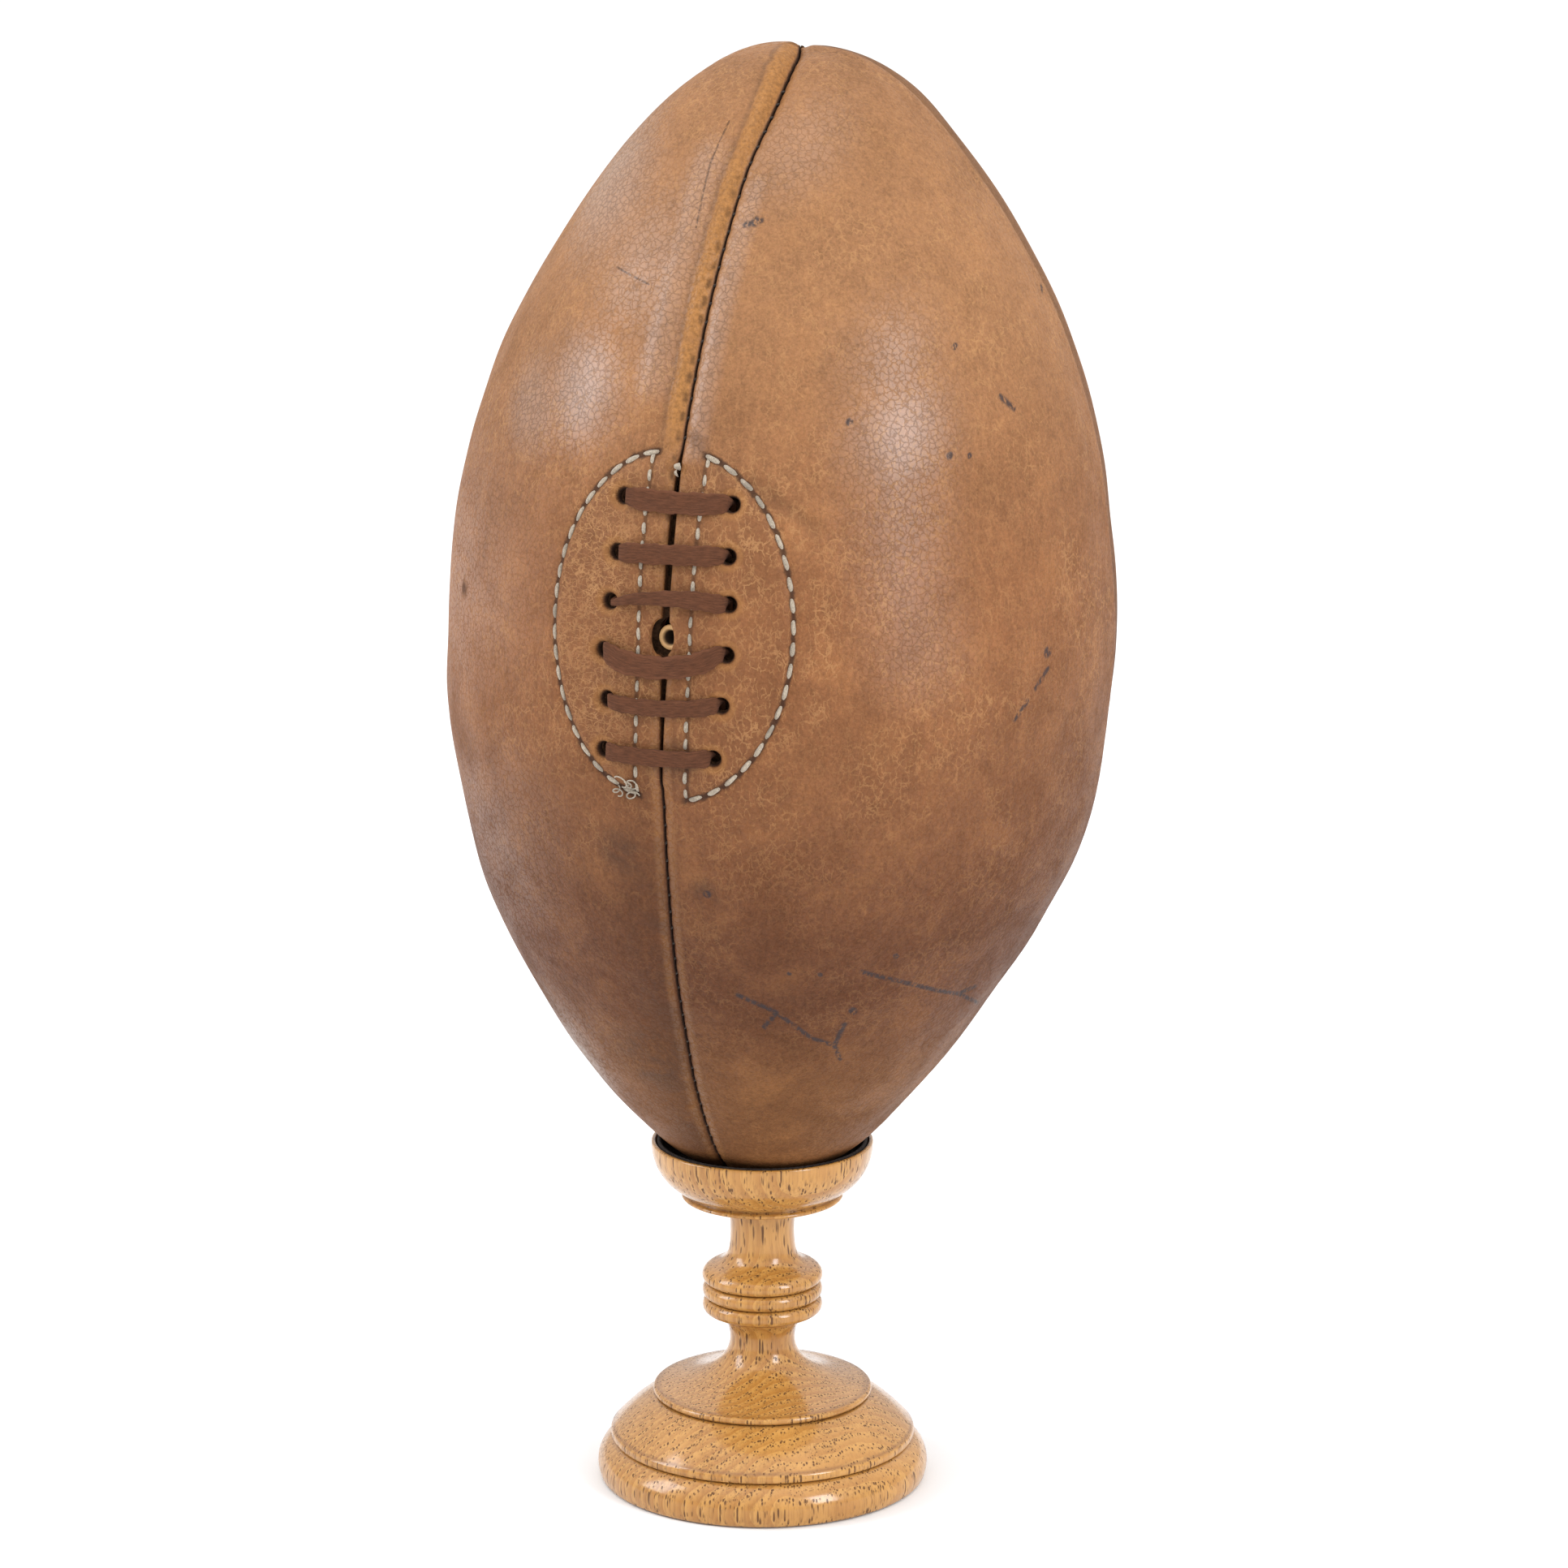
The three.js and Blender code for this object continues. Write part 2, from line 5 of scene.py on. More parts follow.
import bpy
import numpy as np
from bpy.props import FloatProperty, FloatVectorProperty, PointerProperty
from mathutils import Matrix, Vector


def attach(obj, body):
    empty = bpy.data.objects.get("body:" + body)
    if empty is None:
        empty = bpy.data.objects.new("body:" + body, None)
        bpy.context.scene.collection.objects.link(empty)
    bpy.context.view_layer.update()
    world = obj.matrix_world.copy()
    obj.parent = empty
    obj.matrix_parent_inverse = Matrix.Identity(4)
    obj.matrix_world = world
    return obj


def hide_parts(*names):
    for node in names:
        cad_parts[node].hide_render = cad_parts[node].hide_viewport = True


bl_info = {
    "name": "Laced leather ball",
    "version": (1, 0, 0),
    "blender": (4, 5, 0),
    "location": "View3D > Sidebar > Leather Ball",
    "description": "Sews, laces and finishes an old leather ball and turns its oak stand",
    "category": "Object",
}

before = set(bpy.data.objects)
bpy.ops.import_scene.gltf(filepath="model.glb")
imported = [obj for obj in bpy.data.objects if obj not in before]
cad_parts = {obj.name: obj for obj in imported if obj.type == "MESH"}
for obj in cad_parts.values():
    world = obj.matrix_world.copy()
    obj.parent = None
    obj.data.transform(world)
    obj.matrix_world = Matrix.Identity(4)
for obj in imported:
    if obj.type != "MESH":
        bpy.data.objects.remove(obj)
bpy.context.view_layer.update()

MM = 0.001
TURN = 2 * math.pi

# ---------------------------------------------------------------- the ball's surface, in mm from its middle
HALF_LENGTH = 155
FULLNESS = np.polynomial.Polynomial([89.4, -2.3, -5, 20, -50, -15.5, 43.5])
TAPER = FULLNESS.deriv()
BALL_FOOT = np.array([-1.2, 0, 86.3])
BALL_LEAN = math.radians(2.2)

LACE_SEAM_AZIMUTH = math.radians(-109.2)
SEAM_TWIST_TOP = math.radians(8)
SEAM_TWIST_FOOT = math.radians(3)
SIDE_SEAM_BOW = math.radians(9)
TIP_ANGLE = math.radians(89.45)
ROWS = 440

# The laced opening, as (mm round from the laced seam, mm up from the ball's middle).
LACING_HEIGHT = 14.5
SLIT = (-40, 43)    # its ends, in mm up from the lacing's middle
# Heights along the slit, and how wide it gapes there beside its plain width.
SLIT_OPENING = ([-26, -15, 0, 12, 22, 45, 58], [0.25, 0.5, 1.0, 1.5, 1.25, 1.1, 0.6])
LEFT_HOLES = [(-14.3, 46.8), (-14.6, 32.7), (-15.9, 19.9), (-17.5, 7.1), (-15.9, -5.5), (-16.2, -18.8)]
RIGHT_HOLES = [(15.2, 47.4), (15.6, 34.4), (16.7, 22.4), (16.6, 9.5), (15.7, -3.7), (13.9, -17.7)]
VALVE = (1.0, 12.4)
VALVE_NOTCH = (-0.7, 12.3)
STITCH_OVAL = (33.5, 45.3)
OVAL_MEAN = 36
STITCH_COLUMN = 7.2
STITCH_COLUMN_HALF = 44.5
FACING_OVAL = (36.5, 48)
FACING_START = 4.8
FACING_HALF_HEIGHT = 46.5
FACING = 1.2
FACING_GAP = 0.5    # behind the panels
NICK_PITCH = 5.1


def smooth(low, high, value):
    """0 below low, 1 above high, and eased between them."""
    share = np.clip((value - low) / (high - low), 0, 1)
    return share * share * (3 - 2 * share)


def outline(u):
    """Radius, height and the normal's two parts at u, from -1 at the foot to 1 at the top."""
    across = np.sqrt(np.maximum(1 - u * u, 0))
    full = FULLNESS(u)
    out = HALF_LENGTH * across
    up = u * full - across * across * TAPER(u)
    size = np.hypot(out, up)
    return across * full, HALF_LENGTH * u, out / size, up / size


def skin(azimuth, u, lift):
    """Points at an azimuth, lifted off the smooth outline."""
    radius, height, out, up = outline(u)
    reach = radius + lift * out
    return np.stack([reach * np.cos(azimuth), reach * np.sin(azimuth), height + lift * up], -1)


def eased_table(heights, values):
    """A table of values by height with its corners rounded off."""
    reach = 20    # half-millimetre steps that each value is eased over, both ways
    level = np.arange(-330, 331) / 2
    kernel = np.hanning(2 * reach + 1)
    rough = np.interp(level, heights, values)
    eased = np.convolve(np.pad(rough, reach, mode="edge"), kernel / kernel.sum(), "valid")
    return level, eased


def hump(value, middle, width):
    """1 at the middle, falling away smoothly on both sides."""
    return np.exp(-(((value - middle) / width) ** 2))


# Mm that the laced seam and the right one stray sideways, by height.
SEAM_STRAY = [
    eased_table(
        [-155, -144, -133, -96, -68, -56, -24, 0, 28, 54, 77, 90, 105, 118, 130, 141, 155],
        [-0.8, -0.9, -0.7, -0.3, 0.3, 0.3, -0.4, -0.5, -1.1, -1.2, -1.7, -2.2, -2.9, -3.2, -3, -1.5, -1.1],
    ),
    eased_table(
        [-155, -100, -50, -20, 12, 45, 80, 110, 130, 145, 155],
        [3, 6, 7, 5, 2.5, 4.5, 6, 5.2, 2.5, 0, 0],
    ),
]


def seam_azimuth(seam, u):
    """Seam 0 is the laced one, and the others follow anticlockwise from above."""
    twist = np.where(u > 0, SEAM_TWIST_TOP, SEAM_TWIST_FOOT) * u**3 * (1 - u * u) ** -0.2
    bow = SIDE_SEAM_BOW * (1 - u * u) ** 1.4 if seam == 1 else 0
    stray = np.interp(HALF_LENGTH * u, *SEAM_STRAY[seam % 4]) / outline(u)[0] if seam % 4 < 2 else 0
    return LACE_SEAM_AZIMUTH + seam * math.pi / 2 + twist + bow + stray


def seam_offsets(azimuth, u):
    """Signed mm round from each of the four seams."""
    radius = outline(u)[0]
    turns = [azimuth - seam_azimuth(seam, u) for seam in range(4)]
    return np.stack([(np.mod(turn + math.pi, TURN) - math.pi) * radius for turn in turns])


def meridian():
    """Heights as u, and the length along the leather up to each."""
    u = np.sin(np.linspace(-math.pi / 2, math.pi / 2, 2001))
    radius, height, _, _ = outline(u)
    steps = np.hypot(np.diff(radius), np.diff(height))
    return u, np.concatenate([[0], np.cumsum(steps)])


MERIDIAN_U, MERIDIAN_RUN = meridian()


def to_frame(points):
    """From the ball's own axes in mm to the frame in metres."""
    x, y, z = np.moveaxis(np.asarray(points, float), -1, 0)
    up = z + HALF_LENGTH
    c, s = math.cos(BALL_LEAN), math.sin(BALL_LEAN)
    return MM * (np.stack([x * c + up * s, y, up * c - x * s], -1) + BALL_FOOT)


def from_frame(points):
    """From the frame in metres to the ball's own axes in mm."""
    x, y, z = np.moveaxis(np.asarray(points, float) / MM - BALL_FOOT, -1, 0)
    c, s = math.cos(BALL_LEAN), math.sin(BALL_LEAN)
    return np.stack([x * c - z * s, y, x * s + z * c - HALF_LENGTH], -1)


def unwrap(points):
    """Azimuth, u and lift of points in the ball's own axes."""
    x, y, z = np.moveaxis(points, -1, 0)
    radius = np.hypot(x, y)
    angle = np.arctan2(z / HALF_LENGTH, radius / FULLNESS(0))
    limit = math.radians(89.9)
    for _ in range(8):
        angle = np.clip(angle, -limit, limit)
        u = np.sin(angle)
        base, height, out, up = outline(u)
        slip = (z - height) * out - (radius - base) * up
        pace = np.hypot(HALF_LENGTH * np.cos(angle), FULLNESS(u) * u)
        angle = angle + slip / pace
    return np.arctan2(y, x), u, (radius - base) * out + (z - height) * up


def waves(count, shortest, longest, seed):
    """Directions and phases of waves that add up to gentle unevenness."""
    draw = np.random.default_rng(seed)
    ways = draw.normal(size=(count, 3))
    ways /= np.linalg.norm(ways, axis=1)[:, None]
    return ways * (TURN / draw.uniform(shortest, longest, count))[:, None], draw.uniform(0, TURN, count)


# How far age has swollen the case all round, and pushed it to the right, by height.
SWOLLEN = eased_table(
    [-155, -142, -126, -113, -100, -86, -66, -40, 0, 73, 100, 132, 146, 155],
    [0, 0.3, 1.2, 1.7, 1.3, 1.2, 1.1, 0.5, 0.3, -0.2, 0, 0, 0.4, 0.5],
)
PUSHED = eased_table(
    [-155, -142, -126, -113, -100, -86, -73, -60, -46, -33, -20, -7, 7, 20, 33, 73, 100, 126, 155],
    [0, -0.3, -1.3, -1.1, -0.8, -0.3, 0, 0.9, 1.5, 1.1, 0.8, 1.5, 1.6, 0.9, 0.2, 0.6, 1.1, 0.2, 0],
)
DENTS = waves(16, 60, 170, 3)
RUMPLES = waves(20, 16, 40, 11)


def swell(points, wave_set):
    """The waves' sum at points, about 1 high."""
    ways, phases = wave_set
    total = sum(np.sin(points @ way + phase) for way, phase in zip(ways, phases))
    return total / math.sqrt(len(phases) / 2)


def from_line(x, y, start, end):
    """Distance from a straight line between two points."""
    dx, dy = end[0] - start[0], end[1] - start[1]
    share = np.clip(((x - start[0]) * dx + (y - start[1]) * dy) / (dx * dx + dy * dy), 0, 1)
    return np.hypot(x - start[0] - share * dx, y - start[1] - share * dy)


def slit_share(rise):
    """1 along the slit and 0 where the laced seam is sewn shut."""
    return smooth(SLIT[0] - 3, SLIT[0] + 1, rise) * (1 - smooth(SLIT[1] - 1, SLIT[1] + 3, rise))


# Creases: both ends as (mm round, mm up), depth and width.
FOLDS = [
    ((17.9, 54.1), (36.8, 42.8), 0.55, 1.7), ((2, 62), (13, 54), 0.4, 1.3), ((-3, 60), (-10, 55), 0.3, 1.2),
    ((-32, 100.5), (-20, 98.1), 0.2, 0.7), ((40, 30), (52, 12), 0.12, 2.5), ((-1, 66), (-22, 65), 0.28, 0.6),
    ((-3, 62.5), (-17, 61.5), 0.22, 0.6), ((-1, 59), (-14, 57), 0.2, 0.6), ((2, 72), (12, 70), 0.18, 0.6),
    ((2, 66), (15, 63.5), 0.18, 0.6), ((3, 79), (12, 78), 0.15, 0.6),
]
# Ridges along the upper laced seam: its left or right side, height, distance from the seam and width.
RIDGES = [(-1, 1.0, 3.0, 1.5), (-1, -0.45, 6.2, 1.1), (-1, 0.5, 11, 3), (1, 0.5, 4, 2.2)]
PULL_REACH = 8          # how far a seam draws the leather in beside it
PULL_LOST_AT_SLIT = 0.6
TIP_RADIUS = 9          # where the relief starts to fade towards a tip
TIP_LOBE = 0.5          # how much higher the left lobe stands at the top
TIP_VALLEY = (1.9, 2.2)    # depth and width
RIGHT_WELT = (0.8, 5, 4)   # the swollen leather before the right seam: height, distance from it and width
OVAL_PAD = 0.45         # how far the facing fills the leather out
OVAL_GROOVE = (0.6, 1.25)
COLUMN_GROOVE = (0.35, 0.95)
HOLE_RIM = (0.3, 4.2, 1.3)
HOLE_DIP = (0.7, 3.4)


def oval_gap(round_, rise):
    """About how many mm outside the stitched oval, below 0 inside it."""
    return (np.hypot(round_ / STITCH_OVAL[0], rise / STITCH_OVAL[1]) - 1) * OVAL_MEAN


def nick_wave(u):
    """1 at each stitch along a seam, 0 midway to the next."""
    return 0.5 + 0.5 * np.cos(TURN * np.interp(u, MERIDIAN_U, MERIDIAN_RUN) / NICK_PITCH)


def relief(azimuth, u):
    """How far the leather's outer face stands off the smooth outline, in mm."""
    sizes = bpy.context.scene.ball_sizes
    radius, height, _, _ = outline(u)
    offsets = seam_offsets(azimuth, u)
    apart = np.abs(offsets)
    near = apart.min(axis=0)
    laced, beside = offsets[0], apart[0]
    rise = height - LACING_HEIGHT
    at_slit = slit_share(rise)
    room = np.clip(radius / TIP_RADIUS, 0, 1)

    pull = sizes.seam_pull / MM * np.exp(-apart / PULL_REACH)
    pull[0] *= 1 - PULL_LOST_AT_SLIT * at_slit
    lift = np.interp(height, *SWOLLEN) + np.interp(height, *PUSHED) * np.cos(azimuth)
    lift = lift - pull.sum(axis=0) * room
    sewn = 1 - at_slit * (beside < 30)
    lift -= sizes.nick_depth / MM * nick_wave(u) ** 4 * np.exp(-near / 2) * room * sewn

    # The two lobes at the top, with the laced seam's valley running over between them.
    over = radius * np.sin(azimuth - seam_azimuth(0, u))
    crest = smooth(128, 150, height)
    lift += crest * (TIP_LOBE * (over < 0) - TIP_VALLEY[0] * hump(over, 0, TIP_VALLEY[1]))

    points = np.stack([radius * np.cos(azimuth), radius * np.sin(azimuth), height + 0 * azimuth], -1)
    lift += sizes.unevenness / MM * (swell(points, DENTS) + 0.22 * swell(points, RUMPLES)) * room

    high = smooth(48, 62, height) * (1 - smooth(136, 150, height))
    for hand, tall, away, width in RIDGES:
        lift += high * (laced * hand > 0) * tall * hump(beside, away, width)
    tall, away, width = RIGHT_WELT
    lift += (offsets[1] < 0) * (apart[1] < 30) * tall * hump(apart[1], away, width) * room

    gap = oval_gap(laced, rise)
    lift += OVAL_PAD * (1 - smooth(-2.5, 1, gap))
    lift -= OVAL_GROOVE[0] * hump(gap, 0, OVAL_GROOVE[1]) * smooth(3.5, 6.5, beside)
    column = hump(beside, STITCH_COLUMN, COLUMN_GROOVE[1])
    lift -= COLUMN_GROOVE[0] * column * (1 - smooth(STITCH_COLUMN_HALF, STITCH_COLUMN_HALF + 2, np.abs(rise)))
    for hole in LEFT_HOLES + RIGHT_HOLES:
        off_hole = np.hypot(laced - hole[0], height - hole[1])
        lift += HOLE_RIM[0] * hump(off_hole, *HOLE_RIM[1:]) - HOLE_DIP[0] * hump(off_hole, 0, HOLE_DIP[1])
    for start, end, depth, width in FOLDS:
        lift -= depth * hump(from_line(laced, height, start, end), 0, width)
    return lift


def azimuth_at(round_, height):
    """Azimuth and u of a place given by mm round from the laced seam and mm up from the ball's middle."""
    u = np.asarray(height, float) / HALF_LENGTH
    return seam_azimuth(0, u) + round_ / outline(u)[0], u


def beside_slit(round_, height, lift):
    """A point at such a place, in mm off the smooth outline."""
    return skin(*azimuth_at(round_, height), lift)


def on_leather(round_, height, lift):
    """The same, but in mm off the leather."""
    azimuth, u = azimuth_at(round_, height)
    return skin(azimuth, u, lift + relief(azimuth, u))


# ---------------------------------------------------------------- meshes
def unit(vectors):
    """The vectors at length 1."""
    return vectors / np.linalg.norm(vectors, axis=-1, keepdims=True)


def corners(*parts):
    """Four-cornered faces from four arrays of corner numbers."""
    return np.stack(parts, -1).reshape(-1, 4)


def slab(points):
    """A closed slab over points laid out as (rows, columns, outer and inner, xyz)."""
    rows, columns = points.shape[:2]
    index = np.arange(rows * columns * 2).reshape(rows, columns, 2)
    outer, inner = index[..., 0], index[..., 1]
    faces = [
        corners(outer[:-1, :-1], outer[:-1, 1:], outer[1:, 1:], outer[1:, :-1]),
        corners(inner[:-1, :-1], inner[1:, :-1], inner[1:, 1:], inner[:-1, 1:]),
        corners(outer[:-1, 0], outer[1:, 0], inner[1:, 0], inner[:-1, 0]),
        corners(outer[:-1, -1], inner[:-1, -1], inner[1:, -1], outer[1:, -1]),
        corners(outer[0, :-1], inner[0, :-1], inner[0, 1:], outer[0, 1:]),
        corners(outer[-1, :-1], outer[-1, 1:], inner[-1, 1:], inner[-1, :-1]),
    ]
    return points.reshape(-1, 3), np.concatenate(faces).tolist()


def sweep(centres, sideways, outwards, section):
    """A closed tube. Its section's offsets are (stations, points, sideways and outwards)."""
    rings = centres[:, None] + section[..., :1] * sideways[:, None] + section[..., 1:] * outwards[:, None]
    count, sides = rings.shape[:2]
    index = np.arange(count * sides).reshape(count, sides)
    after = np.roll(index, -1, axis=1)
    walls = corners(index[:-1], after[:-1], after[1:], index[1:])
    caps = [index[0][::-1].tolist(), index[-1].tolist()]
    return rings.reshape(-1, 3), walls.tolist() + caps


def circle(radii, sides, flatness=1.0, twist=0.0, ridge=0.0):
    """Round sections, one for each radius, with two plies twisted round each other."""
    angle = np.arange(sides) / sides * TURN
    lay = np.linspace(0, 1, len(radii))[:, None] * twist
    size = np.asarray(radii)[:, None] * (1 + ridge * np.cos(2 * angle + lay))
    return np.stack([size * np.cos(angle), size * np.sin(angle) * flatness], -1)


def stitch(start, end, outward, radius, sink, rise):
    """One stitch lying between two holes, plump in the middle. Points are in mm."""
    share = np.linspace(0, 1, 9)
    along = unit(end - start)
    side = unit(np.cross(outward, along))
    out = np.cross(along, side)
    plump = 0.6
    arch = np.sin(math.pi * share) ** plump
    centres = start + np.outer(share, end - start) + np.outer(rise * arch - sink * (1 - arch), out)
    radii = radius * np.maximum(np.sin(math.pi * share), 0.02) ** plump
    ones = np.ones((len(share), 1))
    section = circle(radii, 10, 0.85, twist=TURN * 1.2, ridge=0.12)
    return sweep(centres, ones * side, ones * out, section)


def joined(shapes):
    """Several closed shapes as one list of points and faces."""
    points, faces, count = [], [], 0
    for part_points, part_faces in shapes:
        points.append(part_points)
        faces += [[corner + count for corner in face] for face in part_faces]
        count += len(part_points)
    return np.concatenate(points), faces


def mesh_of(name, points, faces, values=None):
    """A mesh from points in metres, with named vector attributes."""
    mesh = bpy.data.meshes.new(name)
    mesh.from_pydata(np.asarray(points).tolist(), [], faces)
    for key, vectors in (values or {}).items():
        attribute = mesh.attributes.new(key, "FLOAT_VECTOR", "POINT")
        attribute.data.foreach_set("vector", np.asarray(vectors, np.float32).ravel())
    return mesh


def piece(name, mesh, finish, body, nodes, crease=38):
    """Puts a mesh in the scene as a piece that rides on a body and stands for CAD nodes."""
    mesh.validate()
    mesh.materials.clear()
    mesh.materials.append(finish)
    mesh.shade_smooth()
    mesh.set_sharp_from_angle(angle=math.radians(crease))
    thing = bpy.data.objects.new(name, mesh)
    bpy.context.scene.collection.objects.link(thing)
    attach(thing, body)
    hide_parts(*nodes)
    return thing


def cut_away(mesh, cutters):
    """The mesh with the cutters' room taken out of it."""
    whole = bpy.data.objects.new("whole", mesh)
    tool = bpy.data.objects.new("tool", mesh_of("tool", *joined(cutters)))
    for thing in (whole, tool):
        bpy.context.scene.collection.objects.link(thing)
    step = whole.modifiers.new("cut", "BOOLEAN")
    step.operation = "DIFFERENCE"
    step.solver = "MANIFOLD"
    step.object = tool
    depsgraph = bpy.context.evaluated_depsgraph_get()
    left = bpy.data.meshes.new_from_object(whole.evaluated_get(depsgraph))
    if len(left.vertices) <= len(mesh.vertices):
        raise RuntimeError("the holes did not cut")
    for thing in (whole, tool):
        bpy.data.objects.remove(thing)
    return left


def axes_at(round_, height, lift):
    """A place beside the slit, and the ways round the ball, up it and out of it."""
    place = beside_slit(round_, height, lift)
    out = unit(beside_slit(round_, height, lift + 1) - place)
    across = unit(np.cross(beside_slit(round_, height + 1, lift) - place, out))
    return place, across, np.cross(out, across), out


def punch(round_, height, wide, tall, lip=0.75, sides=28):
    """The room of a punched hole whose outer rim is worn round. Levels are mm off the leather's face."""
    lift = float(relief(*azimuth_at(round_, height)))
    place, across, up, out = axes_at(round_, height, lift)
    profile = [(-9, 0), (-1.7, 0), (-0.9, 0.1), (-0.35, 0.35), (0.15, 0.8), (0.7, 1.5), (4, 1.7)]
    angle = np.arange(sides) / sides * TURN
    section = [
        np.stack([(wide + grow * lip) * np.cos(angle), (tall + grow * lip) * np.sin(angle)], -1)
        for _, grow in profile
    ]
    centres = place + np.outer([level for level, _ in profile], out)
    ones = np.ones((len(profile), 1))
    points, faces = sweep(centres, ones * across, ones * up, np.stack(section))
    return to_frame(points), faces


# Wear, painted shade along folds, and gloss laid over the leather; the gloss spots and stripes also paint it
# paler as sheen.
# Spots have a middle as (mm round, mm up), a radius and a strength, and stripes have both ends, a width and a
# strength.
SMUDGES = [((-13, -46), 9, 1), ((-12.5, -109), 14, 1), ((11, -55), 6, 1), ((4, -20), 10, 1)]
BURNS = [((-79.5, 11.6), 3.4, 1)]
FOLD_SHADES = [((19, 53), (37, 42.5), 3.5, 1), ((2, 63), (12, 55), 2.5, 1)]
GLOSS = [
    ((-44, 118), 28, 1.0), ((-33, 71), 22, 1.0), ((-51, 64), 20, 0.9), ((-70, 20), 48, 0.4),
    ((-55, -50), 40, 0.3), ((56, 64), 24, 0.85), ((52, 85), 18, 0.5), ((-20, 104), 28, 0.6),
    ((12, 132), 20, 0.5), ((-45, -118), 28, 0.6),
]
GLOSS_STRIPES = [
    ((-11, 76), (-11, 128), 9, 0.8), ((4.0, 60), (4.5, 124), 4.6, 0.9), ((50, 84), (66, 12), 23, 0.5),
]


def ball_marks(mesh):
    """Gives each point its place on the leather, which the finishes read."""
    places = np.empty(len(mesh.vertices) * 3, np.float32)
    mesh.vertices.foreach_get("co", places)
    azimuth, u, lift = unwrap(from_frame(places.reshape(-1, 3)))
    offsets = seam_offsets(azimuth, u)
    height = HALF_LENGTH * u
    holes = [np.hypot(offsets[0] - hole[0], height - hole[1]) for hole in LEFT_HOLES + RIGHT_HOLES]
    oval = oval_gap(offsets[0], height - LACING_HEIGHT)

    def spots(table):
        return np.max([
            strength * smooth(radius, 0.1 * radius, np.hypot(offsets[0] - centre[0], height - centre[1]))
            for centre, radius, strength in table
        ], axis=0)

    def lines(table):
        return np.max([
            strength * smooth(width, 0, from_line(offsets[0], height, start, end))
            for start, end, width, strength in table
        ], axis=0)

    values = {
        "flat": [offsets[0], height, np.abs(offsets).min(axis=0)],
        "lay": [np.min(holes, axis=0), lift - relief(azimuth, u), oval],
        # Stitch nicks, the painted fold shade, and the offset from the right seam that places painted shade
        # beyond it.
        "sewing": [nick_wave(u), lines(FOLD_SHADES), offsets[1]],
        "wear": [np.maximum(spots(GLOSS), lines(GLOSS_STRIPES)), spots(SMUDGES), spots(BURNS)],
    }
    for key, parts in values.items():
        attribute = mesh.attributes.get(key) or mesh.attributes.new(key, "FLOAT_VECTOR", "POINT")
        attribute.data.foreach_set("vector", np.stack(parts, -1).astype(np.float32).ravel())


# ---------------------------------------------------------------- shader writing
class Wire:
    """A shader value that takes part in sums, each of which adds a Math node."""

    def __init__(self, tree, socket):
        self.tree = tree
        self.socket = socket

    def math(self, operation, *values, clamp=False):
        node = self.tree.nodes.new("ShaderNodeMath")
        node.operation = operation
        node.use_clamp = clamp
        for socket, value in zip(node.inputs, values):
            plug(self.tree, socket, value)
        return Wire(self.tree, node.outputs[0])

    def __add__(self, other):
        return self.math("ADD", self, other)

    def __radd__(self, other):
        return self.math("ADD", other, self)

    def __sub__(self, other):
        return self.math("SUBTRACT", self, other)

    def __rsub__(self, other):
        return self.math("SUBTRACT", other, self)

    def __mul__(self, other):
        return self.math("MULTIPLY", self, other)

    def __rmul__(self, other):
        return self.math("MULTIPLY", other, self)

    def __truediv__(self, other):
        return self.math("DIVIDE", self, other)

    def __rtruediv__(self, other):
        return self.math("DIVIDE", other, self)

    def __pow__(self, other):
        return self.math("POWER", self, other)

    def __rpow__(self, other):
        return self.math("POWER", other, self)

    def most(self, other):
        return self.math("MAXIMUM", self, other)

    def size(self):
        return self.math("ABSOLUTE", self)

    def held(self):
        """The value kept between 0 and 1."""
        return self.math("ADD", self, 0, clamp=True)


def plug(tree, socket, value):
    """Links a wire to a socket, or sets the socket to a plain value."""
    if isinstance(value, Wire):
        tree.links.new(value.socket, socket)
    else:
        socket.default_value = value


class Nodes:
    """Writes nodes into a tree."""

    def __init__(self, tree):
        self.tree = tree

    def node(self, kind, settings=None, inputs=None, output=0):
        """Adds any node: its settings first, then its sockets' values or links."""
        node = self.tree.nodes.new("ShaderNode" + kind)
        for key, value in (settings or {}).items():
            setattr(node, key, value)
        for key, value in (inputs or {}).items():
            plug(self.tree, node.inputs[key], value)
        return Wire(self.tree, node.outputs[output])

    def parts(self, vector):
        """A vector's x, y and z."""
        node = self.node("SeparateXYZ", inputs={"Vector": vector}).socket.node
        return [Wire(self.tree, socket) for socket in node.outputs]


def times(tone, factor):
    """A plain colour made darker or brighter."""
    return tuple(factor * part for part in tone)


def strongest(marks):
    """The strongest of several marks at each point."""
    return functools.reduce(Wire.most, marks)


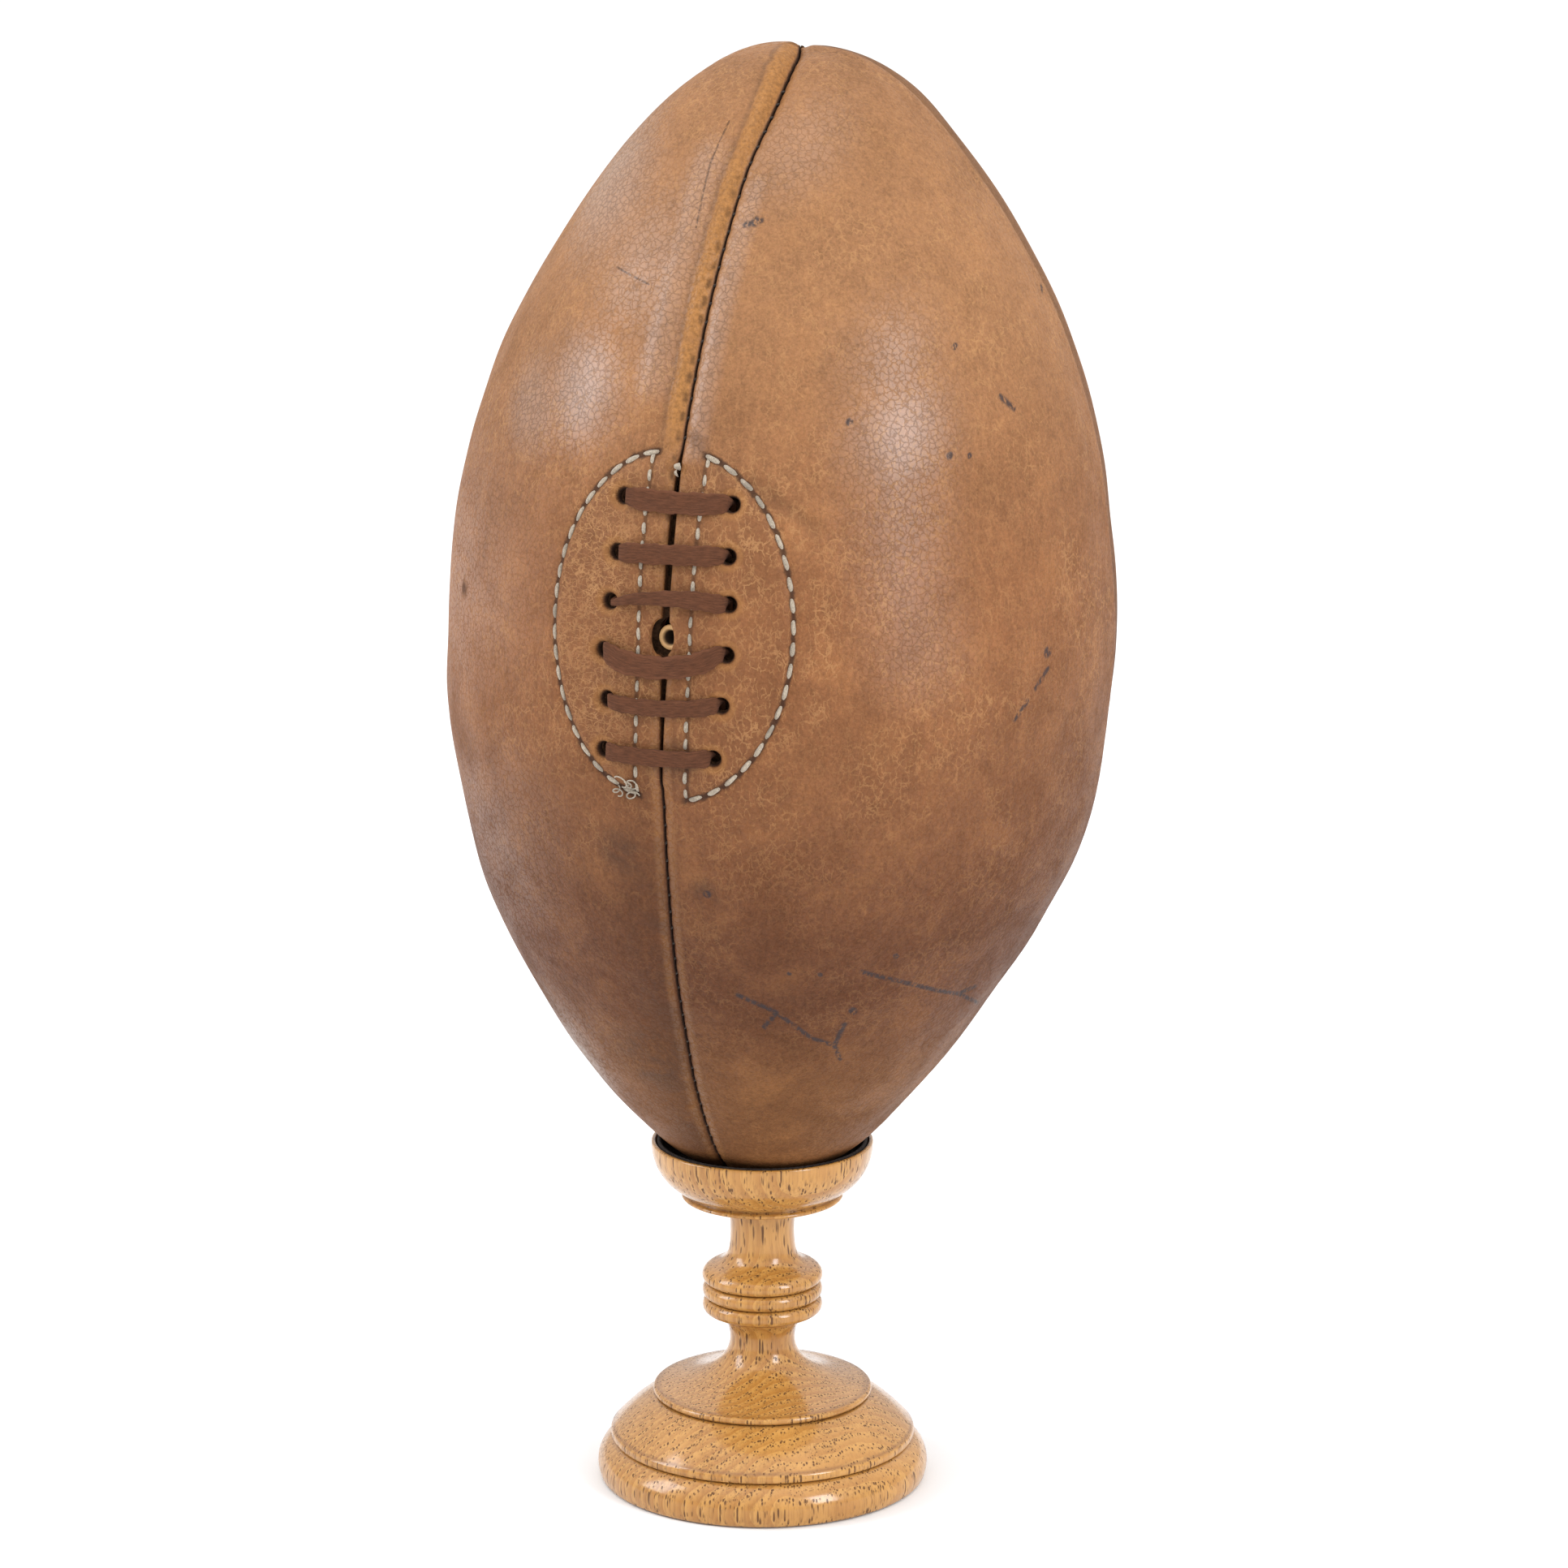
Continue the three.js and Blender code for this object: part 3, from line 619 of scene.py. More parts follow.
class Finish(Nodes):
    """A material under construction. Its fixed sockets are given when it starts."""

    def __init__(self, name, **fixed):
        self.material = bpy.data.materials.new(name)
        self.material.use_nodes = True
        super().__init__(self.material.node_tree)
        self.tree.nodes.clear()
        self.shader = self.tree.nodes.new("ShaderNodeBsdfPrincipled")
        output = self.tree.nodes.new("ShaderNodeOutputMaterial")
        self.tree.links.new(self.shader.outputs[0], output.inputs["Surface"])
        for key, value in fixed.items():
            self.shader.inputs[key.replace("_", " ").title().replace("Ior", "IOR")].default_value = value

    def drive(self, socket, wire):
        """Feeds one of the shader's sockets."""
        plug(self.tree, self.shader.inputs[socket], wire)

    def attribute(self, name):
        return self.node("Attribute", {"attribute_name": name}, output="Vector")

    def vector(self, x, y, z):
        return self.node("CombineXYZ", inputs={"X": x, "Y": y, "Z": z})

    def stretched(self, vector, by):
        return self.node("VectorMath", {"operation": "MULTIPLY"}, {0: vector, 1: by})

    def millimetres(self):
        """The place in the frame, in mm."""
        place = self.node("TexCoord", output="Object")
        return self.stretched(place, (1 / MM, 1 / MM, 1 / MM))

    def scaled(self, vector, by):
        return self.node("VectorMath", {"operation": "SCALE"}, {0: vector, "Scale": by})

    def noise(self, vector, size, detail=2.0, rough=0.5, warp=0.0):
        """Cloudy unevenness about size mm across."""
        sockets = {"Scale": 1 / size, "Detail": detail, "Roughness": rough, "Distortion": warp}
        return self.node("TexNoise", inputs={"Vector": vector, **sockets})

    def cells(self, vector, size, feature="F1"):
        """Distance from the nearest of many scattered points, or from the edges between them."""
        return self.node("TexVoronoi", {"feature": feature}, {"Vector": vector, "Scale": 1 / size})

    def ease(self, value, low, high, bottom=0.0, top=1.0):
        """Bottom at low and top at high, and eased between them."""
        sockets = {"Value": value, "From Min": low, "From Max": high, "To Min": bottom, "To Max": top}
        return self.node("MapRange", {"interpolation_type": "SMOOTHSTEP"}, sockets)

    def mix(self, share, under, over):
        """One colour laid over another by a share."""
        under, over = (tone if isinstance(tone, Wire) else (*tone, 1) for tone in (under, over))
        return self.node("Mix", {"data_type": "RGBA"}, {0: share, 6: under, 7: over}, 2)

    def stroke(self, point, start, end, width):
        """1 on a line between two flat points, fading to 0 over width."""
        way = Vector((end[0] - start[0], end[1] - start[1], 0))
        per_way = way / way.length_squared
        off = self.node("VectorMath", {"operation": "SUBTRACT"}, {0: point, 1: (*start, 0)})
        share = self.node("VectorMath", {"operation": "DOT_PRODUCT"}, {0: off, 1: per_way}, "Value")
        nearest = self.node("VectorMath", {"operation": "SCALE"}, {0: way, "Scale": share.held()})
        gap = self.node("VectorMath", {"operation": "DISTANCE"}, {0: off, 1: nearest}, "Value")
        return self.ease(gap, width, width * 0.25)

    def spot(self, point, centre, radius):
        """1 in the middle of a flat spot, fading to 0 at its radius."""
        gap = self.node("VectorMath", {"operation": "DISTANCE"}, {0: point, 1: (*centre, 0)}, "Value")
        return self.ease(gap, radius, radius * 0.5)

    def bump(self, height, distance):
        """Raises the surface by height times distance, in metres."""
        return self.node("Bump", inputs={"Height": height, "Distance": distance, "Strength": 1.0})


# ---------------------------------------------------------------- sizes and colours a user would change
def length(name, description, millimetres):
    return FloatProperty(
        name=name, description=description, default=millimetres * MM, unit="LENGTH", precision=5
    )


def colour(name, description, value):
    return FloatVectorProperty(
        name=name, description=description, default=value, subtype="COLOR", min=0, max=1
    )


def power(name, description, watts):
    return FloatProperty(name=name, description=description, default=watts, unit="POWER")


class BallSizes(bpy.types.PropertyGroup):
    leather: length("Leather", "Thickness of the panels", 2.3)
    skived: length("Skived edge", "Thickness of the leather where it is turned in", 1.1)
    edge_roll: length("Edge roll", "Radius of the turned panel edges", 1.25)
    edge_flange: length("Edge flange", "How far a turned edge reaches in", 2.2)
    seam_gap: length("Seam gap", "Half the gap between two panels", 0.07)
    slit_gap: length("Slit gap", "Half the gap of the laced slit", 0.85)
    seam_pull: length("Seam pull", "How deep the seams draw the leather in", 1.5)
    nick_depth: length("Nick depth", "Depth of the puckers that the seam stitches make", 0.5)
    unevenness: length("Unevenness", "Height of the old dents and swellings", 0.42)
    hole: length("Lace hole", "Radius of a lace hole", 1.85)
    lace_width: length("Lace width", "Width of the suede lace", 5.3)
    lace_thickness: length("Lace thickness", "Thickness of the suede lace", 1.25)
    stitch_radius: length("Stitch radius", "Half the thickness of the facing thread", 0.7)


class BallColours(bpy.types.PropertyGroup):
    # The three leather tones darken towards the foot, partly as painted shade on the ball's lower half.
    leather_top: colour("Upper leather", "Dry leather near the top", (0.275, 0.126, 0.053))
    leather_middle: colour("Middle leather", "Leather beside the lacing", (0.225, 0.088, 0.033))
    leather_foot: colour("Lower leather", "Darker leather below", (0.105, 0.036, 0.0135))
    # Worn pale grain that also paints sheen over the glossy spots.
    polish_and_sheen: colour("Polished leather", "Pale grain where hands have polished it", (0.47, 0.32, 0.25))
    rubbed: colour("Rubbed leather", "Leather with its finish rubbed away", (0.33, 0.145, 0.042))
    vein: colour("Cracks", "Pale fibres in the fine cracks", (0.50, 0.26, 0.105))
    # Also the colour of painted shade in the lace holes, along the stitched oval, in folds, beyond the right
    # seam and in the valve's bore.
    grime_and_shade: colour("Dirt", "Old wax and dirt in seams and marks", (0.024, 0.013, 0.010))
    raw: colour("Raw leather", "Cut edges and inner side of the leather", (0.16, 0.08, 0.04))
    suede: colour("Lace suede", "The lace", (0.105, 0.040, 0.020))
    thread: colour("Facing thread", "Pale linen thread", (0.45, 0.37, 0.28))
    waxed: colour("Seam thread", "Dark waxed thread", (0.03, 0.018, 0.012))
    valve: colour("Valve rubber", "The filling tube", (0.62, 0.36, 0.15))
    bladder: colour("Bladder rubber", "The bladder", (0.14, 0.035, 0.02))


class StandColours(bpy.types.PropertyGroup):
    oak: colour("Oak", "Pale wood between the pores", (0.50, 0.245, 0.058))
    oak_dark: colour("Oak growth lines", "Darker wood of each year's growth", (0.36, 0.145, 0.026))
    pore: colour("Pores", "Stained pores", (0.09, 0.030, 0.007))
    groove: colour("Grooves", "Stain gathered in the turned grooves", (0.17, 0.062, 0.014))
    felt: colour("Felt", "The cup's lining", (0.016, 0.011, 0.009))


class Studio(bpy.types.PropertyGroup):
    floor: colour("Floor", "The pale floor", (0.86, 0.86, 0.86))
    sky: FloatProperty(name="Surround", description="Brightness straight above", default=1.58, min=0)
    horizon: FloatProperty(name="Horizon", description="Brightness at the horizon", default=0.6, min=0)
    left: power("Left lamp", "Power of the softbox on the left", 15)
    right: power("Right lamp", "Power of the softbox on the right", 18)
    top: power("Top lamp", "Power of the softbox overhead", 6)
    lens: FloatProperty(name="Lens", description="Focal length", default=137.3, unit="CAMERA")


# ---------------------------------------------------------------- finishes
# Marks from play on the leather's flat sheet, as (mm round, mm up): strokes and scratches by both ends, spots
# by middle and radius.
INK = [
    ((16.7, -84.5), (25.7, -88.6)), ((25.7, -88.6), (34.1, -97)), ((34.1, -97), (39.9, -99.8)),
    ((39.9, -99.8), (40.8, -104.3)), ((39.9, -99.8), (43.5, -92.8)), ((26, -89.1), (22.4, -94)),
    ((49.6, -76.6), (60.9, -80.8)), ((60.9, -80.8), (71.2, -85.1)), ((71.2, -85.1), (79.7, -88.4)),
    ((79.7, -88.4), (87.3, -88)), ((79.7, -88.4), (92.6, -96.4)),
    ((4.5, 114.6), (8.4, 115.8)), ((85.2, 72.7), (90.9, 69.2)),
    ((108.7, 2.4), (104, -2)), ((101, -5), (96.5, -9.4)),
]
SCRATCHES = [
    ((-9.6, 137.4), (-10.1, 127.8)), ((-10.1, 127.8), (-8.6, 112.9)), ((-29.7, 100.7), (-17.9, 98.1)),
]
SPOTS = [
    ((46.2, -88.7), 1.6), ((59.3, -72.3), 1.1), ((38.5, -76.9), 0.9), ((30.6, -76.7), 0.8),
    ((110, 94.8), 1.5), ((68, 85.6), 1.2), ((42, 68.6), 1.3), ((11, -55), 1.4),
    ((108.5, 6.8), 2.0), ((70.9, 59.6), 1.3), ((76.9, 59.2), 1.0), ((6.9, 115.5), 1.6),
]
INK_WIDTH = 1.05
SCRATCH_WIDTH = 0.34
INK_TONE = (0.03, 0.024, 0.026)


def leather_finish():
    tones = bpy.context.scene.ball_colours
    names = ("leather_top", "leather_middle", "leather_foot", "polish_and_sheen", "rubbed", "vein", "grime_and_shade", "raw")
    top, middle, foot, polish_and_sheen, rubbed, vein, grime_and_shade, raw = (tuple(getattr(tones, name)) for name in names)
    f = Finish("old panel leather", specular_ior_level=0.16, coat_roughness=0.33, coat_ior=1.5)
    place = f.millimetres()
    arc, height, seam = f.parts(f.attribute("flat"))
    hole, depth, oval = f.parts(f.attribute("lay"))
    nick, fold, round_right = f.parts(f.attribute("sewing"))
    gloss, smudge, burn = f.parts(f.attribute("wear"))
    sheet = f.vector(arc, height, 0.0)

    clouds = f.noise(place, 60, 4, 0.6)
    mottle = f.noise(place, 15, 8, 0.66, 0.5)
    speck = f.noise(place, 0.8, 4, 0.75)
    streak = f.noise(f.stretched(place, (1, 1, 0.25)), 1.8, 5, 0.75)

    # Darker towards the foot: partly the leather's own tone, partly painted shade on the ball's lower half.
    base = f.mix(f.ease(height, -85, 18), foot, middle)
    base = f.mix(f.ease(height, 15, 105), base, top)
    base = f.mix(f.ease(height, -85, -120) * 0.2, base, rubbed)
    base = f.mix(f.ease(arc, 60, 105) * f.ease(height, 35, -35) * 0.3, base, foot)
    base = f.mix(f.ease(mottle, 0.47, 0.68) * 0.12, base, rubbed)
    tone = 1 + (clouds - 0.5) * 0.5 + (mottle - 0.5) * 0.5 + (speck - 0.5) * 1.1 + (streak - 0.5) * 0.7
    base = f.scaled(base, tone)

    # Fine cracks with pale fibres, and the grain's own cells where the leather still shines.
    sockets = {"Vector": place, "Scale": 0.5, "Detail": 3.0, "Roughness": 0.6}
    drift = f.node("TexNoise", inputs=sockets, output="Color")
    warped = f.node("VectorMath", {"operation": "ADD"}, {0: place, 1: f.scaled(drift, 2.2)})
    inside = f.ease(oval, 0.5, -3)
    patch = f.ease(f.noise(place, 24, 4, 0.6), 0.44, 0.62)
    tall = f.stretched(warped, (1, 1, 0.55))
    dry = f.ease(height, -75, 20, 0.35, 1)
    broken = f.ease(f.noise(place, 2.6, 3, 0.6), 0.42, 0.55)
    fine = f.ease(f.cells(tall, 1.7, "DISTANCE_TO_EDGE"), 0.10, 0.02) * broken
    broad = f.ease(f.cells(tall, 3.4, "DISTANCE_TO_EDGE"), 0.05, 0.01)
    broad = broad * f.ease(f.noise(place, 7, 3, 0.6), 0.46, 0.56)
    wet = f.stretched(warped, (0.8, 0.8, 2.1))
    creases = f.ease(f.cells(wet, 3.0, "DISTANCE_TO_EDGE"), 0.06, 0.01) * f.ease(arc, -6, -13) * inside
    cracks = (fine * 0.7).most(broad * 0.8).most(creases)
    cracked = (0.3 + 0.5 * patch + 0.3 * inside).held() * dry
    base = f.mix(inside * 0.22, base, foot)
    base = f.mix(cracks * cracked * 0.62, base, vein)
    # Worn pale finish and painted sheen over the glossy spots and stripes.
    base = f.mix(gloss * 0.16, base, polish_and_sheen)
    grain = f.cells(warped, 1.75, "DISTANCE_TO_EDGE")
    grooves = f.ease(grain, 0.12, 0.02)
    base = f.mix(grooves * (0.10 + 0.45 * gloss), base, f.scaled(base, 0.5))

    # The rubbed edge beside the upper laced seam, and dark leather beside the lower one.
    left = f.ease(arc, 0.2, -0.2)
    high = f.ease(height, 52, 70)
    crumbs = f.ease(f.noise(place, 1.1, 4, 0.75), 0.34, 0.64)
    wander = arc.size() + (f.noise(place, 7, 2) - 0.5) * 2.4
    band = f.ease(seam, 0.4, 1.0) * f.ease(wander, 6.2, 4.2) * left * high
    golden = f.mix(crumbs, times(rubbed, 0.72), times(rubbed, 1.15))
    base = f.mix(band * f.ease(mottle, 0.3, 0.5, 0.5, 0.95), base, golden)
    # Painted shade along the dip at the rubbed band's left edge.
    brink = f.ease(wander, 4.8, 5.8) * f.ease(wander, 7.4, 6.0) * left * high
    base = f.mix(brink * 0.45, base, f.scaled(base, 0.5))
    shoulder = f.ease(seam, 0.6, 1.3) * f.ease(seam, 3.6, 2.0) * (1 - band)
    base = f.mix(shoulder * 0.25, base, rubbed)
    dusk = f.ease(seam, 18, 2) * f.ease(height, -10, -60) * f.ease(mottle, 0.3, 0.6) * f.ease(arc, 6, -4)
    base = f.mix(dusk * 0.7, base, times(foot, 0.5))

    # Dirt in the seams and along the stitching, and painted shade in the lace holes, along the stitched oval,
    # in two folds and beyond the right seam; leather lying deeper below its face is painted darker too.
    # Dirt and painted shade between and beside the oval's stitches.
    ragged = oval + (f.noise(place, 2.2, 3, 0.6) - 0.5) * 1.6
    line = f.ease(ragged.size(), 1.15, 0.3) * f.ease(arc.size(), 4.5, 6.5)
    column = f.ease((arc.size() - STITCH_COLUMN).size(), 0.9, 0.2)
    column = column * f.ease((height - LACING_HEIGHT).size(), 46, 44)
    worn_rim = f.ease(hole, 4.6, 3.2) * f.ease(hole, 2.0, 2.6)
    base = f.mix(worn_rim * 0.4, base, rubbed)
    # Dirt at the seams and the stitch columns, with painted shade along the stitched oval and in the folds.
    soil_and_shade = (f.ease(seam, 0.62, 0.2) * 0.88).most(line * 0.8).most(column * 0.5).most(fold * 0.25)
    beside_line = f.ease((arc.size() - 1.3).size(), 0.95, 0.1)
    thread_mark = f.ease(nick, 0.1, 0.9) * beside_line * left
    thread_mark = thread_mark * f.ease(height, 25, 50) * f.ease(height, 145, 100)
    soil_and_shade = soil_and_shade.most(thread_mark * 0.55 * f.ease(mottle, 0.4, 0.52))
    # Painted shade on the strip beyond the right seam, which turns away from the light.
    soil_and_shade = soil_and_shade.most(f.ease(round_right, 0.3, 1.2) * f.ease(round_right, 13, 7) * 0.4)
    soil_and_shade = soil_and_shade.most(burn * 0.8)
    # Painted shade on the lace holes' walls, and leather darker the deeper it lies below its face.
    soil_and_shade = soil_and_shade.most(f.ease(hole, 2.5, 1.9) * 0.9).most(f.ease(depth, -0.7, -2.2) * 0.7)
    base = f.mix(soil_and_shade, base, grime_and_shade)
    base = f.mix(f.ease(depth, -2.3, -3.0), base, raw)

    # Marks from play: strokes, spots and smudges.
    ticks = f.ease(f.noise(f.stretched(place, (1, 1, 0.45)), 0.9, 3, 0.6), 0.36, 0.52)
    ink = strongest(f.stroke(sheet, start, end, INK_WIDTH) for start, end in INK)
    for centre, radius in SPOTS:
        ink = ink.most(f.spot(sheet, centre, radius))
    base = f.mix(ink * ticks * 0.85, base, INK_TONE)
    scratch = strongest(f.stroke(sheet, start, end, SCRATCH_WIDTH) for start, end in SCRATCHES)
    base = f.mix(scratch * ticks * 0.6, base, grime_and_shade)
    base = f.mix(smudge * f.ease(mottle, 0.38, 0.62) * 0.55, base, grime_and_shade)
    f.drive("Base Color", base)

    # Worn gloss on the swellings, and duller leather in the cracks.
    shine = (gloss * 0.8 + shoulder * 0.3 + f.ease(clouds, 0.45, 0.65) * 0.08).held()
    rough = 0.52 - 0.13 * shine + 0.14 * f.ease(mottle, 0.55, 0.35) + soil_and_shade * 0.3 + grooves * 0.1
    f.drive("Roughness", rough.held())
    f.drive("Coat Weight", (0.03 + shine - soil_and_shade - cracks * 0.3 - grooves * 0.35).held())

    # Grain, wrinkles and cracks, as heights in mm.
    pebble = f.ease(grain, 0.0, 0.2)
    flank = f.ease(arc, -25, -90)
    creased = f.noise(f.vector(arc * 0.14, height * 0.85, 0.0), 1.5, 3, 0.6)
    ripple = f.noise(f.vector(arc * 0.2, height * 0.6, 0.0), 1.3, 3, 0.6)
    across_seam = f.ease(seam, 24, 2.5)
    heights = (
        pebble * (0.05 + 0.13 * gloss) + speck * 0.14 + streak * 0.08
        + creased * (flank * 0.32) + ripple * (across_seam * 0.3)
        - cracks * cracked * 0.08 - ink * 0.03 - scratch * 0.15 - fold * 0.2 + mottle * 0.25
    )
    f.drive("Normal", f.bump(heights, MM))
    return f.material


def thread_finish(name, tone, dark, rough):
    f = Finish(name, roughness=rough, specular_ior_level=0.3, sheen_weight=0.15)
    place = f.millimetres()
    fibres = f.noise(place, 0.35, 3, 0.65)
    grime = f.noise(place, 9, 3, 0.6)
    base = f.mix(f.ease(fibres, 0.35, 0.65) * 0.6, tone, dark)
    f.drive("Base Color", f.mix(f.ease(grime, 0.45, 0.7) * 0.6, base, dark))
    f.drive("Normal", f.bump(fibres, 0.00012))
    return f.material


def suede_finish():
    tone = tuple(bpy.context.scene.ball_colours.suede)
    f = Finish("lace suede", specular_ior_level=0.1, sheen_weight=0.02, sheen_roughness=0.5)
    across, along, side = f.parts(f.attribute("ply"))
    lines = f.noise(f.vector(across * 3.0, along * 0.3, side), 1.0, 4, 0.75)
    wear = f.noise(f.millimetres(), 3.5, 3, 0.6)
    base = f.mix(f.ease(lines, 0.36, 0.68), times(tone, 0.72), times(tone, 1.3))
    edge = f.ease(across.size(), 2.0, 2.6)
    base = f.mix(edge * 0.4, base, times(tone, 1.7))
    f.drive("Base Color", f.mix(f.ease(wear, 0.5, 0.7) * 0.5, base, times(tone, 1.25)))
    f.drive("Roughness", f.ease(wear, 0.3, 0.7, 0.72, 0.9))
    f.drive("Normal", f.bump(lines * 0.8 + wear * 0.4, 0.0004))
    return f.material


def lining_finish():
    f = Finish("lining leather", roughness=0.85, specular_ior_level=0.25)
    place = f.millimetres()
    fibres = f.noise(place, 1.2, 4, 0.7)
    tone = tuple(bpy.context.scene.ball_colours.raw)
    f.drive("Base Color", f.mix(f.ease(fibres, 0.35, 0.7), times(tone, 0.5), times(tone, 1.3)))
    f.drive("Normal", f.bump(fibres, 0.0004))
    return f.material


def rubber_finish(name, tone, size, bore_shade=None):
    """Rubber with a bloom about size mm across, and painted shade in its bore if it has one."""
    f = Finish(name, specular_ior_level=0.4)
    place = f.millimetres()
    bloom = f.noise(place, size, 4, 0.6)
    base = f.mix(f.ease(bloom, 0.4, 0.7) * 0.5, tone, times(tone, 0.55))
    if bore_shade:
        # Painted shade on the bore's walls.
        base = f.mix(f.parts(f.attribute("bore"))[0] * 0.95, base, bore_shade)
    f.drive("Base Color", base)
    f.drive("Roughness", f.ease(bloom, 0.3, 0.7, 0.5, 0.75))
    f.drive("Normal", f.bump(bloom, 0.0001))
    return f.material


PITH = (-52, 96)    # where the tree's own middle lies, in mm from the stand's axis
YEAR = 2.7          # one year's growth


def oak_finish():
    tones = bpy.context.scene.stand_colours
    oak, dark, pore, groove = (tuple(tone) for tone in (tones.oak, tones.oak_dark, tones.pore, tones.groove))
    f = Finish("varnished oak", specular_ior_level=0.2, coat_roughness=0.15, coat_ior=1.5)
    place = f.millimetres()
    x, y, _ = f.parts(place)
    drift = f.noise(f.stretched(place, (1, 1, 0.12)), 22, 3, 0.5)
    pith = (x - PITH[0]) ** 2 + (y - PITH[1]) ** 2
    year = (pith ** 0.5 + drift * 9) / YEAR
    phase = year.math("FRACT", year)
    early = f.ease(phase, 0.0, 0.08) * f.ease(phase, 0.62, 0.36)
    grown = f.ease(phase, 0.25, 0.95)
    tall = f.stretched(place, (1, 1, 0.08))
    open_pore = f.ease(f.cells(tall, 0.8), 0.40, 0.24) * early
    small_pore = f.ease(f.cells(f.stretched(place, (1, 1, 0.13)), 0.7), 0.3, 0.16)
    small_pore = small_pore * f.ease(f.noise(place, 5, 2), 0.44, 0.58)
    fibre = f.noise(f.stretched(place, (1, 1, 0.06)), 0.7, 3, 0.6)
    blotch = f.noise(place, 30, 3, 0.5)
    stain = f.parts(f.attribute("turned"))[0]
    base = f.mix(grown * 0.75, oak, dark)
    base = f.mix(f.ease(fibre, 0.42, 0.66) * 0.5, base, times(dark, 0.72))
    base = f.mix(f.ease(blotch, 0.45, 0.7) * 0.35, base, times(oak, 1.25))
    pores = (open_pore * 0.9).most(small_pore * 0.7)
    base = f.mix(pores, base, pore)
    base = f.mix(stain * 0.6, base, groove)
    f.drive("Base Color", base)
    f.drive("Roughness", (0.34 + pores * 0.25 + fibre * 0.1).held())
    f.drive("Coat Weight", (0.85 - pores * 0.5).held())
    f.drive("Normal", f.bump(fibre * 0.15 - pores * 0.9, 0.00022))
    return f.material


def felt_finish():
    tone = tuple(bpy.context.scene.stand_colours.felt)
    f = Finish("dark felt", roughness=0.95, specular_ior_level=0.2, sheen_weight=0.05, sheen_roughness=0.5)
    nap = f.noise(f.millimetres(), 0.8, 4, 0.7)
    f.drive("Base Color", f.mix(f.ease(nap, 0.35, 0.7), tone, times(tone, 2.6)))
    f.drive("Normal", f.bump(nap, 0.0005))
    return f.material


# ---------------------------------------------------------------- the leather case
PANELS = ["panel_front_right", "panel_back_right", "panel_back_left", "panel_front_left"]


def main_shares(panel):
    """Where a panel's columns stand, close together beside the lacing."""
    if panel == 0:
        return np.concatenate([np.linspace(0, 0.3, 40), np.linspace(0.3, 1, 44)[1:]])[1:-1]
    if panel == 3:
        return 1 - main_shares(0)[::-1]
    return np.linspace(0, 1, 62)[1:-1]


def panel_mesh(panel):
    """One panel: its outer face, its edges rolled under at both seams, and its inner face."""
    sizes = bpy.context.scene.ball_sizes
    u = np.sin(np.linspace(-TIP_ANGLE, TIP_ANGLE, ROWS + 1))[:, None]
    radius = outline(u)[0]
    start, end = seam_azimuth(panel, u), seam_azimuth(panel + 1, u)
    if panel == 3:
        end = seam_azimuth(0, u) + TURN
    width = (end - start) * radius
    slit = slit_share(HALF_LENGTH * u - LACING_HEIGHT)
    roll_size = np.minimum(sizes.edge_roll / MM, 0.3 * width)
    skived = np.minimum(sizes.skived / MM, 0.8 * roll_size)

    def edge(seam):
        laced = slit if seam % 4 == 0 else 0 * slit
        open_ = laced * np.interp(HALF_LENGTH * u, *SLIT_OPENING)
        gap = np.minimum(sizes.seam_gap / MM + (sizes.slit_gap - sizes.seam_gap) / MM * open_, 0.04 * width)
        roll = roll_size * (1 - 0.35 * laced)
        turn = np.radians(np.concatenate([[0, 0], np.linspace(0, 90, 8)]))[None]
        reach = np.array([1, 0.5] + [0] * 8)[None] * sizes.edge_flange / MM
        across = gap + roll * (1 - np.cos(turn))
        drop = roll * (1 - np.sin(turn)) + np.minimum(reach, 0.4 * width)
        outer = np.stack([across, -drop], -1)
        inner = np.stack([across + skived * np.cos(turn), -drop - skived * np.sin(turn)], -1)
        return outer, inner, gap + roll

    first_outer, first_inner, first = edge(panel)
    last_outer, last_inner, last = edge(panel + 1)
    across = first + (width - first - last) * main_shares(panel)[None]
    depth = sizes.leather / MM
    from_edge = np.minimum(across - first, width - last - across)
    thick = np.minimum(skived + (depth - skived) * smooth(0, 7, from_edge), depth)
    main_outer = np.stack([across, 0 * across], -1)
    main_inner = np.stack([across, -thick], -1)

    def mirrored(side):
        return np.stack([width - side[..., 0], side[..., 1]], -1)[:, ::-1]

    outer = np.concatenate([first_outer, main_outer, mirrored(last_outer)], 1)
    inner = np.concatenate([first_inner, main_inner, mirrored(last_inner)], 1)
    base = relief(start + outer[..., 0] / radius, u + 0 * outer[..., 0])
    sides = [skin(start + side[..., 0] / radius, u, side[..., 1] + base) for side in (outer, inner)]
    points, faces = slab(np.stack(sides, 2))
    return mesh_of(PANELS[panel], to_frame(points), faces)


def lace_punches():
    hole = bpy.context.scene.ball_sizes.hole / MM
    left = [punch(*place, hole, hole) for place in LEFT_HOLES]
    right = [punch(*place, hole, hole) for place in RIGHT_HOLES]
    return left, right, [punch(*VALVE_NOTCH, 3.1, 4.9, lip=0.5, sides=40)]


class BALLMAKER_OT_panels(bpy.types.Operator):
    """Cuts and sews the four leather panels"""

    bl_idname = "ballmaker.panels"
    bl_label = "Leather panels"

    def execute(self, context):
        finish = leather_finish()
        left, right, valve = lace_punches()
        for index, name in enumerate(PANELS):
            mesh = panel_mesh(index)
            if index in (0, 3):
                mesh = cut_away(mesh, (right if index == 0 else left) + valve)
            ball_marks(mesh)
            piece("leather_" + name, mesh, finish, "ball", [name], crease=50)
        return {"FINISHED"}


SEAM_RUNS = {
    "seam_thread_lace_upper": (0, LACING_HEIGHT + SLIT[1] + 1, 151),
    "seam_thread_lace_lower": (0, -151, LACING_HEIGHT + SLIT[0] - 1),
    "seam_thread_right": (1, -151, 151),
    "seam_thread_back": (2, -151, 151),
    "seam_thread_left": (3, -151, 151),
}


